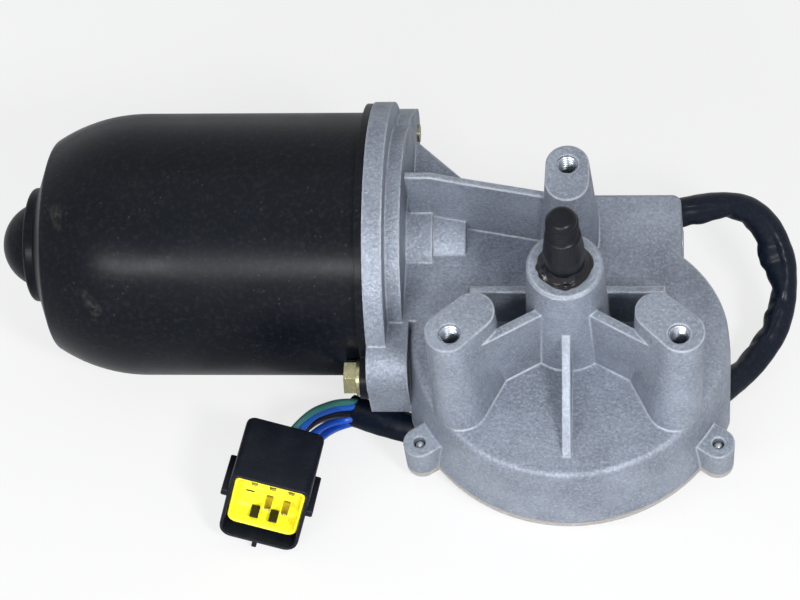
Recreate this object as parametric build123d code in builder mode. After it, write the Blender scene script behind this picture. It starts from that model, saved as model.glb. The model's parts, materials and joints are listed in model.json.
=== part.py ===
from build123d import *
from math import acos, atan2, cos, degrees, pi, radians, sin, sqrt, tan
import os

# ---------------------------------------------------------------------------
# Windscreen wiper motor: a permanent magnet motor drives a worm gearbox.
#
# Everything is drawn in the gearbox's own axes, in millimetres: the origin is
# on the output axis at the joint face of the casting, Z runs along the output
# shaft, and the motor lies towards -X. The last section turns the finished
# pieces into the position in which the motor lies on a bench, with +Z up.
# ---------------------------------------------------------------------------

# Gearbox casting
drum_r = 54.5            # joint face radius
deck_r = 50.2            # radius at the top of the drum
drum_half_width = 51.4   # flats on both sides of the drum
shoulder_x = 8.4         # centre of the rounded right shoulder behind the drum
shoulder_y = -5.2
deck_z = 26.0            # height of the drum and of the worm tunnel
drum_rim_fillet = 2.0
roof_wall = 5.5          # thickness of the deck over the gear chamber
chamber_r = 41.5         # gear chamber
block_end_x = 37.0       # closed end of the worm tunnel
block_rear_y = 52.4      # rear wall at the joint face
block_front_y = 3.0      # front of the tunnel block beside the flange
block_draft = 2.5        # degrees
block_corner = 3.0
block_edge_fillet = 1.2

# Output shaft and its boss
shaft_r = 6.3
shaft_tip_z = 99.7
thread_r = 4.95
thread_foot_z = 88.7
taper_foot_z = 79.0
taper_top_r = 5.4
shaft_bottom_z = 3.0
upper_bush_top_z = 63.0
boss_top_z = 70.0
boss_top_r = 11.8
boss_foot_r = 13.6
boss_chamfer = 0.8
boss_bore_r = 8.3
running_gap = 0.03       # radial clearance of every journal

# Three mounting bosses
mount_pcd = 80.0
mount_top_z = 63.0
mount_tap_r = 3.4        # M8
mount_tap_depth = 22.0

# Ribs on the deck
diagonal_rib_top_z = 56.0
diagonal_rib_wall = 3.0
cross_rib_y = 5.0
cross_rib_top_z = 45.5
cross_rib_wall = 2.4
cross_rib_reach = 36.0
front_rib_top_z = 48.0
front_rib_wall = 2.6
front_rib_reach = 43.5
web_top_z = 54.0
web_wall = 2.2
diagonal_rib_offset = 3.5
gusset_z = 9.0
gusset_wall = 6.0
gusset_end_x = -23.6
cover_edge_gap = 0.4

# Motor axis, which is also the worm axis
worm_y = 40.0
worm_z = 13.0
flange_x = -64.5         # joint face between yoke and casting
plate_margin = 0.5       # casting outside the yoke's flange
plate_wall = 6.3
collar_r = 38.7
collar_wall = 4.9
front_ear_wall = 13.2
rear_ear_wall = 10.7
front_ear_margin = 6.5   # casting outside the front bolt's centre
front_ear_corner = 10.0
front_ear_foot_corner = 1.5
rear_bolt_turn = -10.0   # degrees, the rear bolt sits lower than the motor axis
rear_ear_r = 8.4
rear_ear_root_r = 20.0
bearing_pad_r = 19.5
bearing_pad_length = 8.8
tunnel_pad_r = 17.5
tunnel_pad_length = 10.7

# Yoke: a deep drawn steel can
yoke_r = 43.5
yoke_wall = 2.0
yoke_straight = 76.2
dome_length = 29.3
dome_radius = 53.7
dome_corner = 2.5
end_cone = 6.0           # the end face rises this much from its corner to the ring
ring_r = 19.0            # raised ring round the cap
ring_rise = 3.5
ring_corner = 1.4
cap_r = 13.9
cap_rise = 10.3
yoke_flange_wall = 2.5
yoke_lip = 3.0           # the flange stands out this far from the can
yoke_flange_r = yoke_r + yoke_lip
plate_r = yoke_flange_r + plate_margin
yoke_ear_r = 7.0
yoke_ear_neck = 12.0
recess_r = 36.2          # brush gear recess in the casting
recess_depth = 6.1
inner_recess_r = 33.0
collar_end_wall = 2.4

# Through bolts M6
bolt_r = 3.0
bolt_hole_gap = 0.1
bolt_hole_spare = 0.5    # tapped hole past the bolt's tip
bolt_tip = 11.5          # reach past the joint face
bolt_head_across_flats = 10.0
bolt_head_height = 4.0
washer_r = 5.9
washer_wall = 1.3
washer_gap = 0.1         # between a washer and the can
ear_bolt_offset = yoke_r + washer_gap + washer_r

# Worm gearing
gear_module = 1.4
wheel_teeth = 48
wheel_face = 9.0
worm_length = 30.0
tooth_clearance = 0.28   # total backlash along the worm
tip_clearance = 0.35
pressure_angle = 20.0
wheel_pitch_r = gear_module * wheel_teeth / 2
worm_pitch_r = worm_y - wheel_pitch_r
worm_lead = pi * gear_module

# Armature
armature_shaft_r = 5.0
end_journal_r = 4.2
shaft_float = 2.6
magnet_wall = 8.5
air_gap = 0.7
magnet_outer_r = yoke_r - yoke_wall
magnet_inner_r = magnet_outer_r - magnet_wall
core_r = magnet_inner_r - air_gap
core_length = 50.0
core_centre_x = -109.0
core_slots = 12
core_slot_depth = 12.0
core_slot_width = 7.4
core_slot_taper = 80.0
core_slot_mouth = 2.6
winding_gap = 0.2
winding_length = 8.0
winding_step = 3.3       # the end turns lie below the core's rim
winding_r = core_r - winding_step
winding_bore_r = 12.0
commutator_r = 14.0
commutator_length = 13.5
riser_r = 16.0
riser_wall = 2.0
bar_slot = 0.8
magnet_length = 56.0
magnet_gap = 26.0
clip_wall = 1.0
clip_length = 40.0

# Brush gear
brush_plate_wall = 1.6
brush_plate_bore_r = 17.0
brush_width = 6.2
brush_depth = 8.6
brush_length = 11.5
brush_box_wall = 0.8
brush_box_length = 14.5
brush_slack = 0.1
brush_gap = 0.3
spring_reach = 5.0
brush_angles = (90.0, 270.0, 210.0)
spring_roll_r = 2.2
spring_sink = 0.6        # the roll sits this deep in its seat

# Bearings, bushes and seals
bearing_outer_r = 11.0
bearing_width = 6.0
race_outer_r = 9.2
race_inner_r = 6.9
shield_wall = 0.5
bush_length = 15.0
seal_wall = 3.5
circlip_wall = 1.2
circlip_r = 7.9
groove_depth = 0.6
tunnel_r = 9.0
tunnel_end_x = 29.0
end_bush_length = 7.0
rear_bush_length = 6.5
retainer_r = 17.0
retainer_wall = 0.8
thrust_gap = 0.3
thrust_screw_r = 4.0
thrust_key_flats = 4.0
thrust_key_depth = 3.0

# Worm wheel on its hub
hub_r = 13.0
hub_bottom_z = 7.6
lower_washer_gap = 0.1
wheel_web = 4.0
wheel_rim = 5.0
thrust_washer_wall = 1.0
contact_disc_outer_r = 27.0
contact_disc_inner_r = 14.0
park_notch_width = 9.0
park_notch_depth = 5.0
contact_disc_wall = 0.6

# Cover, gasket and their screws
gasket_wall = 0.8
cover_wall = 1.5
cover_dish = 1.0
cover_dish_r = 39.0
lug_x = 47.3
lug_y = -32.3
lug_r = 5.2
lug_top_z = 12.5
lug_root_x = 4.5         # from the lug's centre towards the drum
lug_root_y = 3.1
lug_turn = 34.3          # degrees
cover_strip = 30.0       # the cover's straight part along the rear wall
cover_screw_r = 1.95
cover_screw_gap = 0.05
cover_screw_tip = 1.0    # past the lugs, and short of the blind holes
cover_slot_length = 4.4
cover_slot_width = 0.9
cover_slot_depth = 1.4
cover_screw_blind = 7.5
cover_head_r = 3.8
cover_head_height = 2.4
rear_left_screw = (-47.5, 14.0)
rear_right_screw = (33.0, 35.5)

# Park switch
carrier_outer_r = 31.0
carrier_inner_r = 12.0
carrier_wall = 3.0
finger_width = 3.0
finger_wall = 0.5
finger_radii = (16.0, 20.5, 25.0)
finger_gap = 0.3
finger_foot_x = -9.0     # bend of the first finger
finger_step = 2.0        # each next finger starts this much further left
finger_foot = 4.0
finger_rise = 11.0
finger_nose = 3.0
finger_nose_drop = 0.8

# Cable boot on the rear wall
boot_x = 17.0
boot_z = 5.0
boot_hole_r = 5.0
boot_flange_r = 7.5
boot_flange_wall = 1.6
boot_reach = 5.2         # from the wall to the elbow
boot_neck_r = 4.7
boot_bore_r = 3.2
boot_lip = 2.5
boot_lip_r = 5.1
boot_stub = 3.2          # length held in the wall

# Cable sleeve: corner points on the bench, from the boot to the leads. Bench
# points count from where the output axis meets the joint face, with Z up.
sleeve_r = 4.6
sleeve_route = (
    (32.2, 51.5, 50.6),
    (48.8, 56.5, 51.0),
    (63.2, 60.9, 43.1),
    (72.0, 52.9, 29.0),
    (70.1, 39.2, 15.5),
    (58.6, 24.6, 5.1),
    (39.3, -1.6, 5.1),
    (2.0, -17.0, 5.1),
    (-48.0, -15.5, 5.1),
    (-72.5, -3.5, 5.1),
)

# Leads between the sleeve and the connector, corner points on the bench
lead_r = 1.0
lead_routes = (
    (
        (-71.8, -2.1, 6.8), (-74.8, -1.6, 11.5), (-81.4, -7.6, 16.7),
        (-92.6, -22.7, 19.8), (-95.7, -34.4, 20.3),
    ),
    (
        (-72.9, -4.3, 7.0), (-75.5, -4.5, 10.8), (-80.5, -9.5, 15.3),
        (-86.9, -22.9, 20.0), (-90.0, -34.8, 18.6),
    ),
    (
        (-73.7, -5.9, 4.7), (-76.3, -5.7, 7.9), (-81.4, -9.2, 12.1),
        (-83.2, -21.9, 17.7), (-84.2, -35.2, 16.9),
    ),
    (
        (-71.4, -1.2, 4.2), (-76.2, -0.6, 6.6), (-83.4, -6.7, 10.3),
        (-94.1, -21.9, 11.9), (-94.9, -34.5, 12.5),
    ),
    (
        (-72.6, -3.8, 2.8), (-76.5, -4.0, 5.0), (-82.2, -9.0, 7.9),
        (-83.0, -23.9, 9.9), (-89.1, -34.9, 10.9),
    ),
)

# Connector
connector_mouth = (-93.0, -63.7, 15.15)
connector_yaw = 4.0
connector_roll = 16.25
connector_width = 23.4
connector_height = 24.5
connector_length = 28.0
connector_corner = 2.5
shroud_width = 27.6
shroud_length = 11.0
shroud_drop = 7.0
rail_reach = 3.2
rail_wall = 2.0
rail_length = 12.5
latch_width = 9.0
latch_height = 2.2
latch_length = 12.0
mouth_width = 20.6
mouth_height = 19.0
mouth_depth = 13.0
insert_gap = 0.1
insert_wall = 1.2
insert_corner = 1.0
insert_setback = 0.8
socket_setback = 6.2
seal_width = 17.0
seal_height = 13.0
seal_depth = 4.0
seal_proud = 1.0
socket_width = 4.6
socket_height = 5.6
terminal_wall = 0.8
terminal_points = ((-6.0, 3.0), (0.0, 3.0), (6.0, 3.0), (-3.0, -5.6), (3.0, -5.6))

# Planes and axes of the drawing
worm_axis = Axis((0, worm_y, worm_z), (1, 0, 0))
motor_section = Plane(origin=(0, worm_y, worm_z), x_dir=(1, 0, 0), z_dir=(0, -1, 0))
bolt_seat_x = flange_x - yoke_flange_wall - washer_wall


def across(x):
    """Plane square to the motor axis at x, its own X to the rear and Y up."""
    return Plane(origin=(x, worm_y, worm_z), x_dir=(0, 1, 0), z_dir=(1, 0, 0))


def behind(y, z):
    """Plane facing the rear through the cable boot, its own X to the right."""
    return Plane(origin=(boot_x, y, z), x_dir=(1, 0, 0), z_dir=(0, 1, 0))


# --- Gearbox casting -------------------------------------------------------
plate_end_x = flange_x + plate_wall
collar_end_x = plate_end_x + collar_wall
bearing_pad_end_x = collar_end_x + bearing_pad_length
tunnel_pad_end_x = bearing_pad_end_x + tunnel_pad_length
chamber_top_z = deck_z - roof_wall
mount_r = mount_pcd / 2
bearing_end_x = bearing_pad_end_x
bearing_start_x = bearing_end_x - bearing_width
front_ear_reach = ear_bolt_offset + front_ear_margin
front_ear_root = 30.0
bolt_turns = (180.0, rear_bolt_turn)
ear_points = [
    (ear_bolt_offset * cos(radians(turn)), ear_bolt_offset * sin(radians(turn)))
    for turn in bolt_turns
]
front_boss_top = ((-0.8, 0.9, 7.0), (6.9, 7.9, 6.5))
front_boss_foot = ((1.2, -6.0, 8.6), (7.5, 5.5, 8.0))
rear_boss_top = ((0.0, 0.0, 6.85), (0.0, -6.3, 6.85))
rear_boss_foot = ((0.0, 1.0, 9.2), (0.0, -6.3, 9.2))
web_line = ((-52.0, 40.5), (-44.0, 40.5), (-34.2, 38.4), (-6.0, 33.0))
mount_holes = (
    (0.0, mount_r),
    (-mount_r * cos(radians(30)), -mount_r * sin(radians(30))),
    (mount_r * cos(radians(30)), -mount_r * sin(radians(30))),
)

with BuildSketch() as drum_waste:
    # flats on both sides and a rounded shoulder on the right, outside the drum
    for side in (-1, 1):
        with Locations((side * (drum_half_width + drum_r / 2), 0)):
            Rectangle(drum_r, 4 * drum_r)
    with BuildLine():
        shoulder_r = drum_half_width - shoulder_x
        CenterArc((shoulder_x, shoulder_y), shoulder_r, 0, 90)
        Polyline(
            (shoulder_x, shoulder_y + shoulder_r),
            (shoulder_x, 2 * drum_r),
            (2 * drum_r, 2 * drum_r),
            (2 * drum_r, shoulder_y),
            (shoulder_x + shoulder_r, shoulder_y),
        )
    make_face()
    with Locations((0, block_rear_y + drum_r)):
        Rectangle(4 * drum_r, 2 * drum_r)

with BuildPart() as drum:
    with BuildSketch(Plane.XZ) as drum_profile:
        with BuildLine():
            Polyline((0, 0), (drum_r, 0), (deck_r, deck_z), (0, deck_z), close=True)
        make_face()
        fillet(drum_profile.vertices().sort_by(lambda v: v.X + v.Y)[-1], radius=drum_rim_fillet)
    revolve(axis=Axis.Z)
    with BuildSketch(Plane.XY):
        add(drum_waste.sketch)
    extrude(amount=deck_z, mode=Mode.SUBTRACT)

with BuildSketch() as lug_outline:
    for side in (-1, 1):
        with Locations((side * lug_x, lug_y)):
            Circle(lug_r)
        with Locations((side * (lug_x - lug_root_x), lug_y + lug_root_y)):
            Rectangle(2 * lug_r, 2 * lug_r, rotation=side * -lug_turn)

with BuildPart() as gear_housing:
    # worm tunnel block behind the drum
    with BuildSketch(Plane.XY):
        with Locations(((plate_end_x + 1 + block_end_x) / 2, (block_front_y + block_rear_y) / 2)):
            Rectangle(block_end_x - plate_end_x - 1, block_rear_y - block_front_y)
    extrude(amount=deck_z, taper=block_draft)
    upright = gear_housing.edges().filter_by(lambda e: abs(e.tangent_at(0.5).Z) > 0.9)
    fillet(upright.sort_by(lambda e: e.center().X + e.center().Y)[-1], radius=block_corner)
    fillet(gear_housing.edges().group_by(Axis.Z)[-1].sort_by(Axis.Y)[-1], radius=block_edge_fillet)
    add(drum.part)
    # flange plate, collar, bolt ears and bearing pads on the motor axis
    with BuildSketch(across(flange_x)):
        Circle(plate_r)
    extrude(amount=plate_wall)
    with BuildSketch(across(plate_end_x)):
        Circle(collar_r)
    extrude(amount=collar_wall)
    with BuildSketch(across(flange_x)) as front_ear:
        with Locations((-(front_ear_reach + front_ear_root) / 2, 0)):
            Rectangle(front_ear_reach - front_ear_root, deck_z)
        fillet(front_ear.vertices().group_by(Axis.X)[0].sort_by(Axis.Y)[-1], radius=front_ear_corner)
        fillet(front_ear.vertices().group_by(Axis.X)[0].sort_by(Axis.Y)[0], radius=front_ear_foot_corner)
    extrude(amount=front_ear_wall)
    with BuildSketch(across(flange_x)):
        with BuildLine():
            CenterArc(ear_points[1], rear_ear_r, 0, 360)
            CenterArc((plate_r - rear_ear_root_r, 0), rear_ear_root_r, 0, 360)
        make_hull()
    extrude(amount=rear_ear_wall)
    for pad_r, pad_start, pad_end in (
        (bearing_pad_r, collar_end_x, bearing_pad_end_x),
        (tunnel_pad_r, bearing_pad_end_x, tunnel_pad_end_x),
    ):
        with BuildSketch(across(pad_start)):
            Circle(pad_r)
            with Locations((0, -worm_z - plate_r)):
                Rectangle(4 * plate_r, 2 * plate_r, mode=Mode.SUBTRACT)
        extrude(amount=pad_end - pad_start)
    # gusset between the rear ear and the block
    with BuildSketch(Plane.XY.offset(gusset_z)):
        with BuildLine():
            Polyline(
                (plate_end_x, worm_y + collar_r - 2),
                (collar_end_x + 1.3, worm_y + collar_r - 0.7),
                (gusset_end_x, block_rear_y - 1),
                (gusset_end_x, block_rear_y - 6),
                (plate_end_x, block_rear_y - 6),
                close=True,
            )
        make_face()
    extrude(amount=gusset_wall)
    # cover screw lugs
    with BuildSketch(Plane.XY):
        add(lug_outline.sketch)
    extrude(amount=lug_top_z)
    # mounting bosses
    left_x, front_y = mount_holes[1]
    for side in (-1, 1):
        for level, lobes in ((deck_z, front_boss_foot), (mount_top_z, front_boss_top)):
            with BuildSketch(Plane.XY.offset(level)):
                with BuildLine():
                    for lobe_x, lobe_y, lobe_r in lobes:
                        CenterArc((side * (left_x + lobe_x), front_y + lobe_y), lobe_r, 0, 360)
                make_hull()
        loft(ruled=True)
    with BuildSketch(Plane.XY.offset(deck_z)):
        with BuildLine():
            for lobe_x, lobe_y, lobe_r in rear_boss_foot:
                CenterArc((lobe_x, lobe_y + mount_r), lobe_r, 0, 360)
        make_hull()
    with BuildSketch(Plane.XY.offset(mount_top_z)):
        with BuildLine():
            for lobe_x, lobe_y, lobe_r in rear_boss_top:
                CenterArc((lobe_x, lobe_y + mount_r), lobe_r, 0, 360)
        make_hull()
    loft(ruled=True)
    # output shaft boss
    with BuildSketch(Plane.XZ):
        with BuildLine():
            Polyline(
                (0, chamber_top_z),
                (boss_foot_r, chamber_top_z),
                (boss_foot_r, deck_z),
                (boss_top_r, boss_top_z - boss_chamfer),
                (boss_top_r - boss_chamfer, boss_top_z),
                (0, boss_top_z),
                close=True,
            )
        make_face()
    revolve(axis=Axis.Z)
    # ribs on the deck
    with BuildSketch(Plane.YZ):
        with BuildLine():
            Polyline((0, deck_z - 1), (-front_rib_reach, deck_z - 1), (-front_rib_reach, deck_z + 0.3),
                     (1 - boss_foot_r, front_rib_top_z), (0, front_rib_top_z), close=True)
        make_face()
    extrude(amount=front_rib_wall / 2, both=True)
    for side in (-1, 1):
        foot_x = side * mount_r * cos(radians(30))
        with BuildSketch(Plane(origin=(0, 0, deck_z - 1), x_dir=(-foot_x, mount_r / 2, 0), z_dir=(0, 0, 1))):
            with Locations((-mount_r / 2 + 2, side * diagonal_rib_offset)):
                Rectangle(mount_r - 8, diagonal_rib_wall)
        extrude(amount=diagonal_rib_top_z - deck_z + 1)
    with BuildSketch(Plane(origin=(0, cross_rib_y, 0), x_dir=(1, 0, 0), z_dir=(0, -1, 0))):
        with BuildLine():
            Polyline((-cross_rib_reach, deck_z - 1), (cross_rib_reach, deck_z - 1), (cross_rib_reach, deck_z),
                     (cross_rib_reach - 5.5, cross_rib_top_z), (5.5 - cross_rib_reach, cross_rib_top_z),
                     (-cross_rib_reach, deck_z), close=True)
        make_face()
    extrude(amount=cross_rib_wall / 2, both=True)
    with BuildSketch(Plane.XY.offset(deck_z - 1)):
        with BuildLine():
            Polyline(*web_line, *((x, y + web_wall) for x, y in reversed(web_line)), close=True)
        make_face()
    extrude(amount=web_top_z - deck_z + 1)

    # gear chamber, worm tunnel and the seats on the motor axis
    with BuildSketch(Plane.XY):
        Circle(chamber_r)
    extrude(amount=chamber_top_z, mode=Mode.SUBTRACT)
    with BuildSketch(Plane.XY.offset(-1)):
        Circle(boss_bore_r)
    extrude(amount=boss_top_z + 2, mode=Mode.SUBTRACT)
    for hole_r, hole_start, hole_end in (
        (recess_r, flange_x - 1, flange_x + recess_depth),
        (inner_recess_r, flange_x, collar_end_x - collar_end_wall),
        (bearing_outer_r, flange_x, bearing_end_x),
        (tunnel_r, flange_x, tunnel_end_x),
        (thrust_screw_r, tunnel_end_x - 1, block_end_x + 1),
    ):
        with BuildSketch(across(hole_start)):
            Circle(hole_r)
        extrude(amount=hole_end - hole_start, mode=Mode.SUBTRACT)
    with BuildSketch(across(flange_x)):
        with Locations(*ear_points):
            Circle(bolt_r)
    extrude(amount=bolt_tip + bolt_hole_spare, mode=Mode.SUBTRACT)
    # tapped mounting holes
    with BuildSketch(Plane.XY.offset(mount_top_z)):
        with Locations(*mount_holes):
            Circle(mount_tap_r)
    extrude(amount=-mount_tap_depth, mode=Mode.SUBTRACT)
    # cover screw holes: through the lugs, blind behind
    with BuildSketch(Plane.XY):
        with Locations((-lug_x, lug_y), (lug_x, lug_y)):
            Circle(cover_screw_r)
    extrude(amount=lug_top_z, mode=Mode.SUBTRACT)
    with BuildSketch(Plane.XY):
        with Locations(rear_left_screw, rear_right_screw):
            Circle(cover_screw_r)
    extrude(amount=cover_screw_blind, mode=Mode.SUBTRACT)
    # slot for the cable grommet, open to the joint face
    with BuildSketch(behind(worm_y, 0)):
        with Locations((0, -boot_z)):
            Circle(boot_hole_r)
        with Locations((0, -boot_z / 2)):
            Rectangle(2 * boot_hole_r, boot_z)
    extrude(amount=block_rear_y - worm_y + 1, mode=Mode.SUBTRACT)

# --- Cover, gasket and screws ----------------------------------------------
cover_points = ((-lug_x, lug_y), (lug_x, lug_y), rear_left_screw, rear_right_screw)
cover_left_x = collar_end_x + cover_edge_gap

with BuildSketch() as joint_outline:
    Circle(drum_r)
    add(drum_waste.sketch, mode=Mode.SUBTRACT)
    with Locations(((cover_left_x + block_end_x) / 2, block_rear_y - cover_strip / 2)):
        Rectangle(block_end_x - cover_left_x, cover_strip)
    add(lug_outline.sketch)
    with Locations((cover_left_x - drum_r, 0)):
        Rectangle(2 * drum_r, 4 * drum_r, mode=Mode.SUBTRACT)
    with Locations(*cover_points):
        Circle(cover_screw_r + cover_screw_gap, mode=Mode.SUBTRACT)

with BuildPart() as cover_gasket:
    with BuildSketch(Plane.XY.offset(-gasket_wall)):
        add(joint_outline.sketch)
        Circle(chamber_r, mode=Mode.SUBTRACT)
    extrude(amount=gasket_wall)

with BuildPart() as gear_cover:
    with BuildSketch(Plane.XY.offset(-gasket_wall - cover_wall)):
        add(joint_outline.sketch)
    extrude(amount=cover_wall)
    # pressed dish under the gear chamber
    with BuildSketch(Plane.XY.offset(-gasket_wall - cover_wall)):
        Circle(cover_dish_r)
    extrude(amount=-cover_dish)
    with BuildSketch(Plane.XY.offset(-gasket_wall)):
        Circle(cover_dish_r - cover_wall)
    extrude(amount=-cover_dish, mode=Mode.SUBTRACT)

with BuildPart() as cover_screws:
    for number, (screw_x, screw_y) in enumerate(cover_points):
        tip_z = lug_top_z + cover_screw_tip if number < 2 else cover_screw_blind - cover_screw_tip
        with BuildSketch(Plane.XY.offset(-gasket_wall - cover_wall - cover_head_height)):
            with Locations((screw_x, screw_y)):
                Circle(cover_head_r)
        extrude(amount=cover_head_height)
        with BuildSketch(Plane.XY.offset(-gasket_wall - cover_wall)):
            with Locations((screw_x, screw_y)):
                Circle(cover_screw_r)
        extrude(amount=tip_z + gasket_wall + cover_wall)
        # cross slot
        with BuildSketch(Plane.XY.offset(-gasket_wall - cover_wall - cover_head_height)):
            with Locations((screw_x, screw_y)):
                Rectangle(cover_slot_length, cover_slot_width)
                Rectangle(cover_slot_width, cover_slot_length)
        extrude(amount=cover_slot_depth, mode=Mode.SUBTRACT)

# --- Output shaft and its bearings -----------------------------------------
seal_top_z = upper_bush_top_z + seal_wall
circlip_z = seal_top_z + 0.3
hub_top_z = chamber_top_z - lower_washer_gap - thrust_washer_wall
lower_bush_top_z = chamber_top_z + bush_length

with BuildPart() as output_shaft:
    with BuildSketch(Plane.XZ) as shaft_profile:
        with BuildLine():
            Polyline(
                (0, shaft_bottom_z),
                (shaft_r - 0.6, shaft_bottom_z),
                (shaft_r, shaft_bottom_z + 0.6),
                (shaft_r, circlip_z),
                (shaft_r - groove_depth, circlip_z),
                (shaft_r - groove_depth, circlip_z + circlip_wall),
                (shaft_r, circlip_z + circlip_wall),
                (shaft_r, taper_foot_z),
                (taper_top_r, thread_foot_z),
                (thread_r, thread_foot_z + 0.4),
                (thread_r, shaft_tip_z - 0.9),
                (thread_r - 0.9, shaft_tip_z),
                (0, shaft_tip_z),
                close=True,
            )
        make_face()
    revolve(axis=Axis.Z)

with BuildPart() as output_bush_lower:
    with BuildSketch(Plane.XY.offset(chamber_top_z)):
        Circle(boss_bore_r)
        Circle(shaft_r + running_gap, mode=Mode.SUBTRACT)
    extrude(amount=bush_length)

with BuildPart() as output_bush_upper:
    with BuildSketch(Plane.XY.offset(upper_bush_top_z - bush_length)):
        Circle(boss_bore_r)
        Circle(shaft_r + running_gap, mode=Mode.SUBTRACT)
    extrude(amount=bush_length)

with BuildPart() as shaft_seal:
    with BuildSketch(Plane.XZ):
        with BuildLine():
            Polyline((shaft_r + running_gap, upper_bush_top_z), (boss_bore_r, upper_bush_top_z),
                     (boss_bore_r, seal_top_z), (shaft_r + 1.2, seal_top_z),
                     (shaft_r + running_gap, seal_top_z - 0.8), close=True)
        make_face()
    revolve(axis=Axis.Z)

with BuildPart() as shaft_circlip:
    with BuildSketch(Plane.XY.offset(circlip_z)):
        Circle(circlip_r)
        Circle(shaft_r - groove_depth, mode=Mode.SUBTRACT)
        with Locations((0, -circlip_r)):
            Rectangle(3.4, 6.0, mode=Mode.SUBTRACT)
    extrude(amount=circlip_wall)

with BuildPart() as thrust_washer:
    with BuildSketch(Plane.XY.offset(chamber_top_z - thrust_washer_wall)):
        Circle(hub_r - 1)
        Circle(shaft_r + running_gap, mode=Mode.SUBTRACT)
    extrude(amount=thrust_washer_wall)

with BuildPart() as wheel_hub:
    with BuildSketch(Plane.XY.offset(hub_bottom_z)):
        Circle(hub_r)
        Circle(shaft_r, mode=Mode.SUBTRACT)
    extrude(amount=hub_top_z - hub_bottom_z)

# --- Worm wheel ---------------------------------------------------------------
def rolling(angle):
    """Involute function."""
    return tan(angle) - angle


def tooth_half_angle(radius):
    """Half the angle covered by one wheel tooth at a radius, in degrees."""
    base_r = wheel_pitch_r * cos(radians(pressure_angle))
    opening = pi / (2 * wheel_teeth) - tooth_clearance / (4 * wheel_pitch_r)
    return degrees(opening + rolling(radians(pressure_angle)) - rolling(acos(base_r / radius)))


def wheel_outline():
    """Corner points of the toothed rim, one tooth gap centred on +Y."""
    steps = (wheel_root_r, wheel_root_r + 1.0, wheel_pitch_r, wheel_tip_r)
    points = []
    for tooth in range(wheel_teeth):
        middle = 90 + 360 / wheel_teeth * (tooth + 0.5)
        for radius in steps:
            angle = radians(middle - tooth_half_angle(radius))
            points.append((radius * cos(angle), radius * sin(angle)))
        for radius in reversed(steps):
            angle = radians(middle + tooth_half_angle(radius))
            points.append((radius * cos(angle), radius * sin(angle)))
    return points


wheel_tip_r = wheel_pitch_r + gear_module
wheel_root_r = wheel_pitch_r - gear_module - tip_clearance
worm_tip_r = worm_pitch_r + gear_module
worm_root_r = worm_pitch_r - gear_module - tip_clearance
lead_angle = atan2(worm_lead, 2 * pi * worm_pitch_r)
wheel_twist = degrees(wheel_face * tan(lead_angle) / wheel_pitch_r)
wheel_bottom_z = worm_z - wheel_face / 2

with BuildSketch(Plane.XY) as wheel_section:
    with BuildLine():
        Polyline(*wheel_outline(), close=True)
    make_face()
toothed_disc = Solid.extrude_linear_with_rotation(
    wheel_section.sketch.face(), (0, 0, 0), (0, 0, wheel_face), wheel_twist
)
toothed_disc = Location((0, 0, wheel_bottom_z)) * toothed_disc.rotate(Axis.Z, -wheel_twist / 2)

with BuildPart() as worm_wheel:
    add(toothed_disc)
    # pockets in the upper face, between stiffening ribs
    with BuildSketch(Plane.XY.offset(worm_z)):
        Circle(wheel_root_r - wheel_rim)
        Circle(hub_r + wheel_web, mode=Mode.SUBTRACT)
        with PolarLocations(0, 8):
            with Locations((wheel_root_r / 2, 0)):
                Rectangle(wheel_root_r, 2.4, mode=Mode.SUBTRACT)
    extrude(amount=wheel_face, mode=Mode.SUBTRACT)
    with BuildSketch(Plane.XY):
        Circle(hub_r)
    extrude(amount=deck_z, mode=Mode.SUBTRACT)

with BuildPart() as park_disc:
    with BuildSketch(Plane.XY.offset(wheel_bottom_z - contact_disc_wall)):
        Circle(contact_disc_outer_r)
        Circle(contact_disc_inner_r, mode=Mode.SUBTRACT)
        with Locations((0, contact_disc_outer_r)):
            Rectangle(park_notch_width, 2 * park_notch_depth, mode=Mode.SUBTRACT)
    extrude(amount=contact_disc_wall)

# --- Park switch on the cover ---------------------------------------------------
with BuildPart() as contact_carrier:
    with BuildSketch(Plane.XY.offset(-gasket_wall - cover_dish)):
        Circle(carrier_outer_r)
        Circle(carrier_inner_r, mode=Mode.SUBTRACT)
    extrude(amount=carrier_wall)

carrier_top_z = carrier_wall - gasket_wall - cover_dish
finger_tip_z = wheel_bottom_z - contact_disc_wall - finger_gap

with BuildPart() as contact_fingers:
    for number, radius in enumerate(finger_radii):
        start_x = finger_foot_x - finger_step * number
        rise_x = start_x + finger_rise
        nose_x = rise_x + finger_nose
        with BuildSketch(Plane(origin=(0, -radius, 0), x_dir=(1, 0, 0), z_dir=(0, -1, 0))):
            with BuildLine():
                Polyline(
                    (start_x - finger_foot, carrier_top_z),
                    (start_x, carrier_top_z),
                    (rise_x, finger_tip_z - finger_wall),
                    (nose_x, finger_tip_z - finger_wall - finger_nose_drop),
                    (nose_x, finger_tip_z - finger_nose_drop),
                    (rise_x, finger_tip_z),
                    (start_x, carrier_top_z + finger_wall),
                    (start_x - finger_foot, carrier_top_z + finger_wall),
                    close=True,
                )
            make_face()
        extrude(amount=finger_width / 2, both=True)

# --- Yoke ------------------------------------------------------------------------
# The dome ends in a corner, then a shallow cone runs in to a raised ring, and
# a ball cap for the rear bush stands on the ring.
lean = atan2(dome_length, sqrt(dome_radius ** 2 - dome_length ** 2))
knee_x = flange_x - yoke_straight
corner_x = knee_x - dome_length
corner_r = yoke_r - dome_radius * (1 - cos(lean))
ring_foot_x = corner_x - end_cone
ring_top_x = ring_foot_x - ring_rise
cap_tip_x = ring_top_x - cap_rise


def cap_ball(inset):
    """Radius of the ball cap's surface, from its foot circle and its rise."""
    return ((cap_r - inset) ** 2 + cap_rise ** 2) / (2 * cap_rise)


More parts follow.
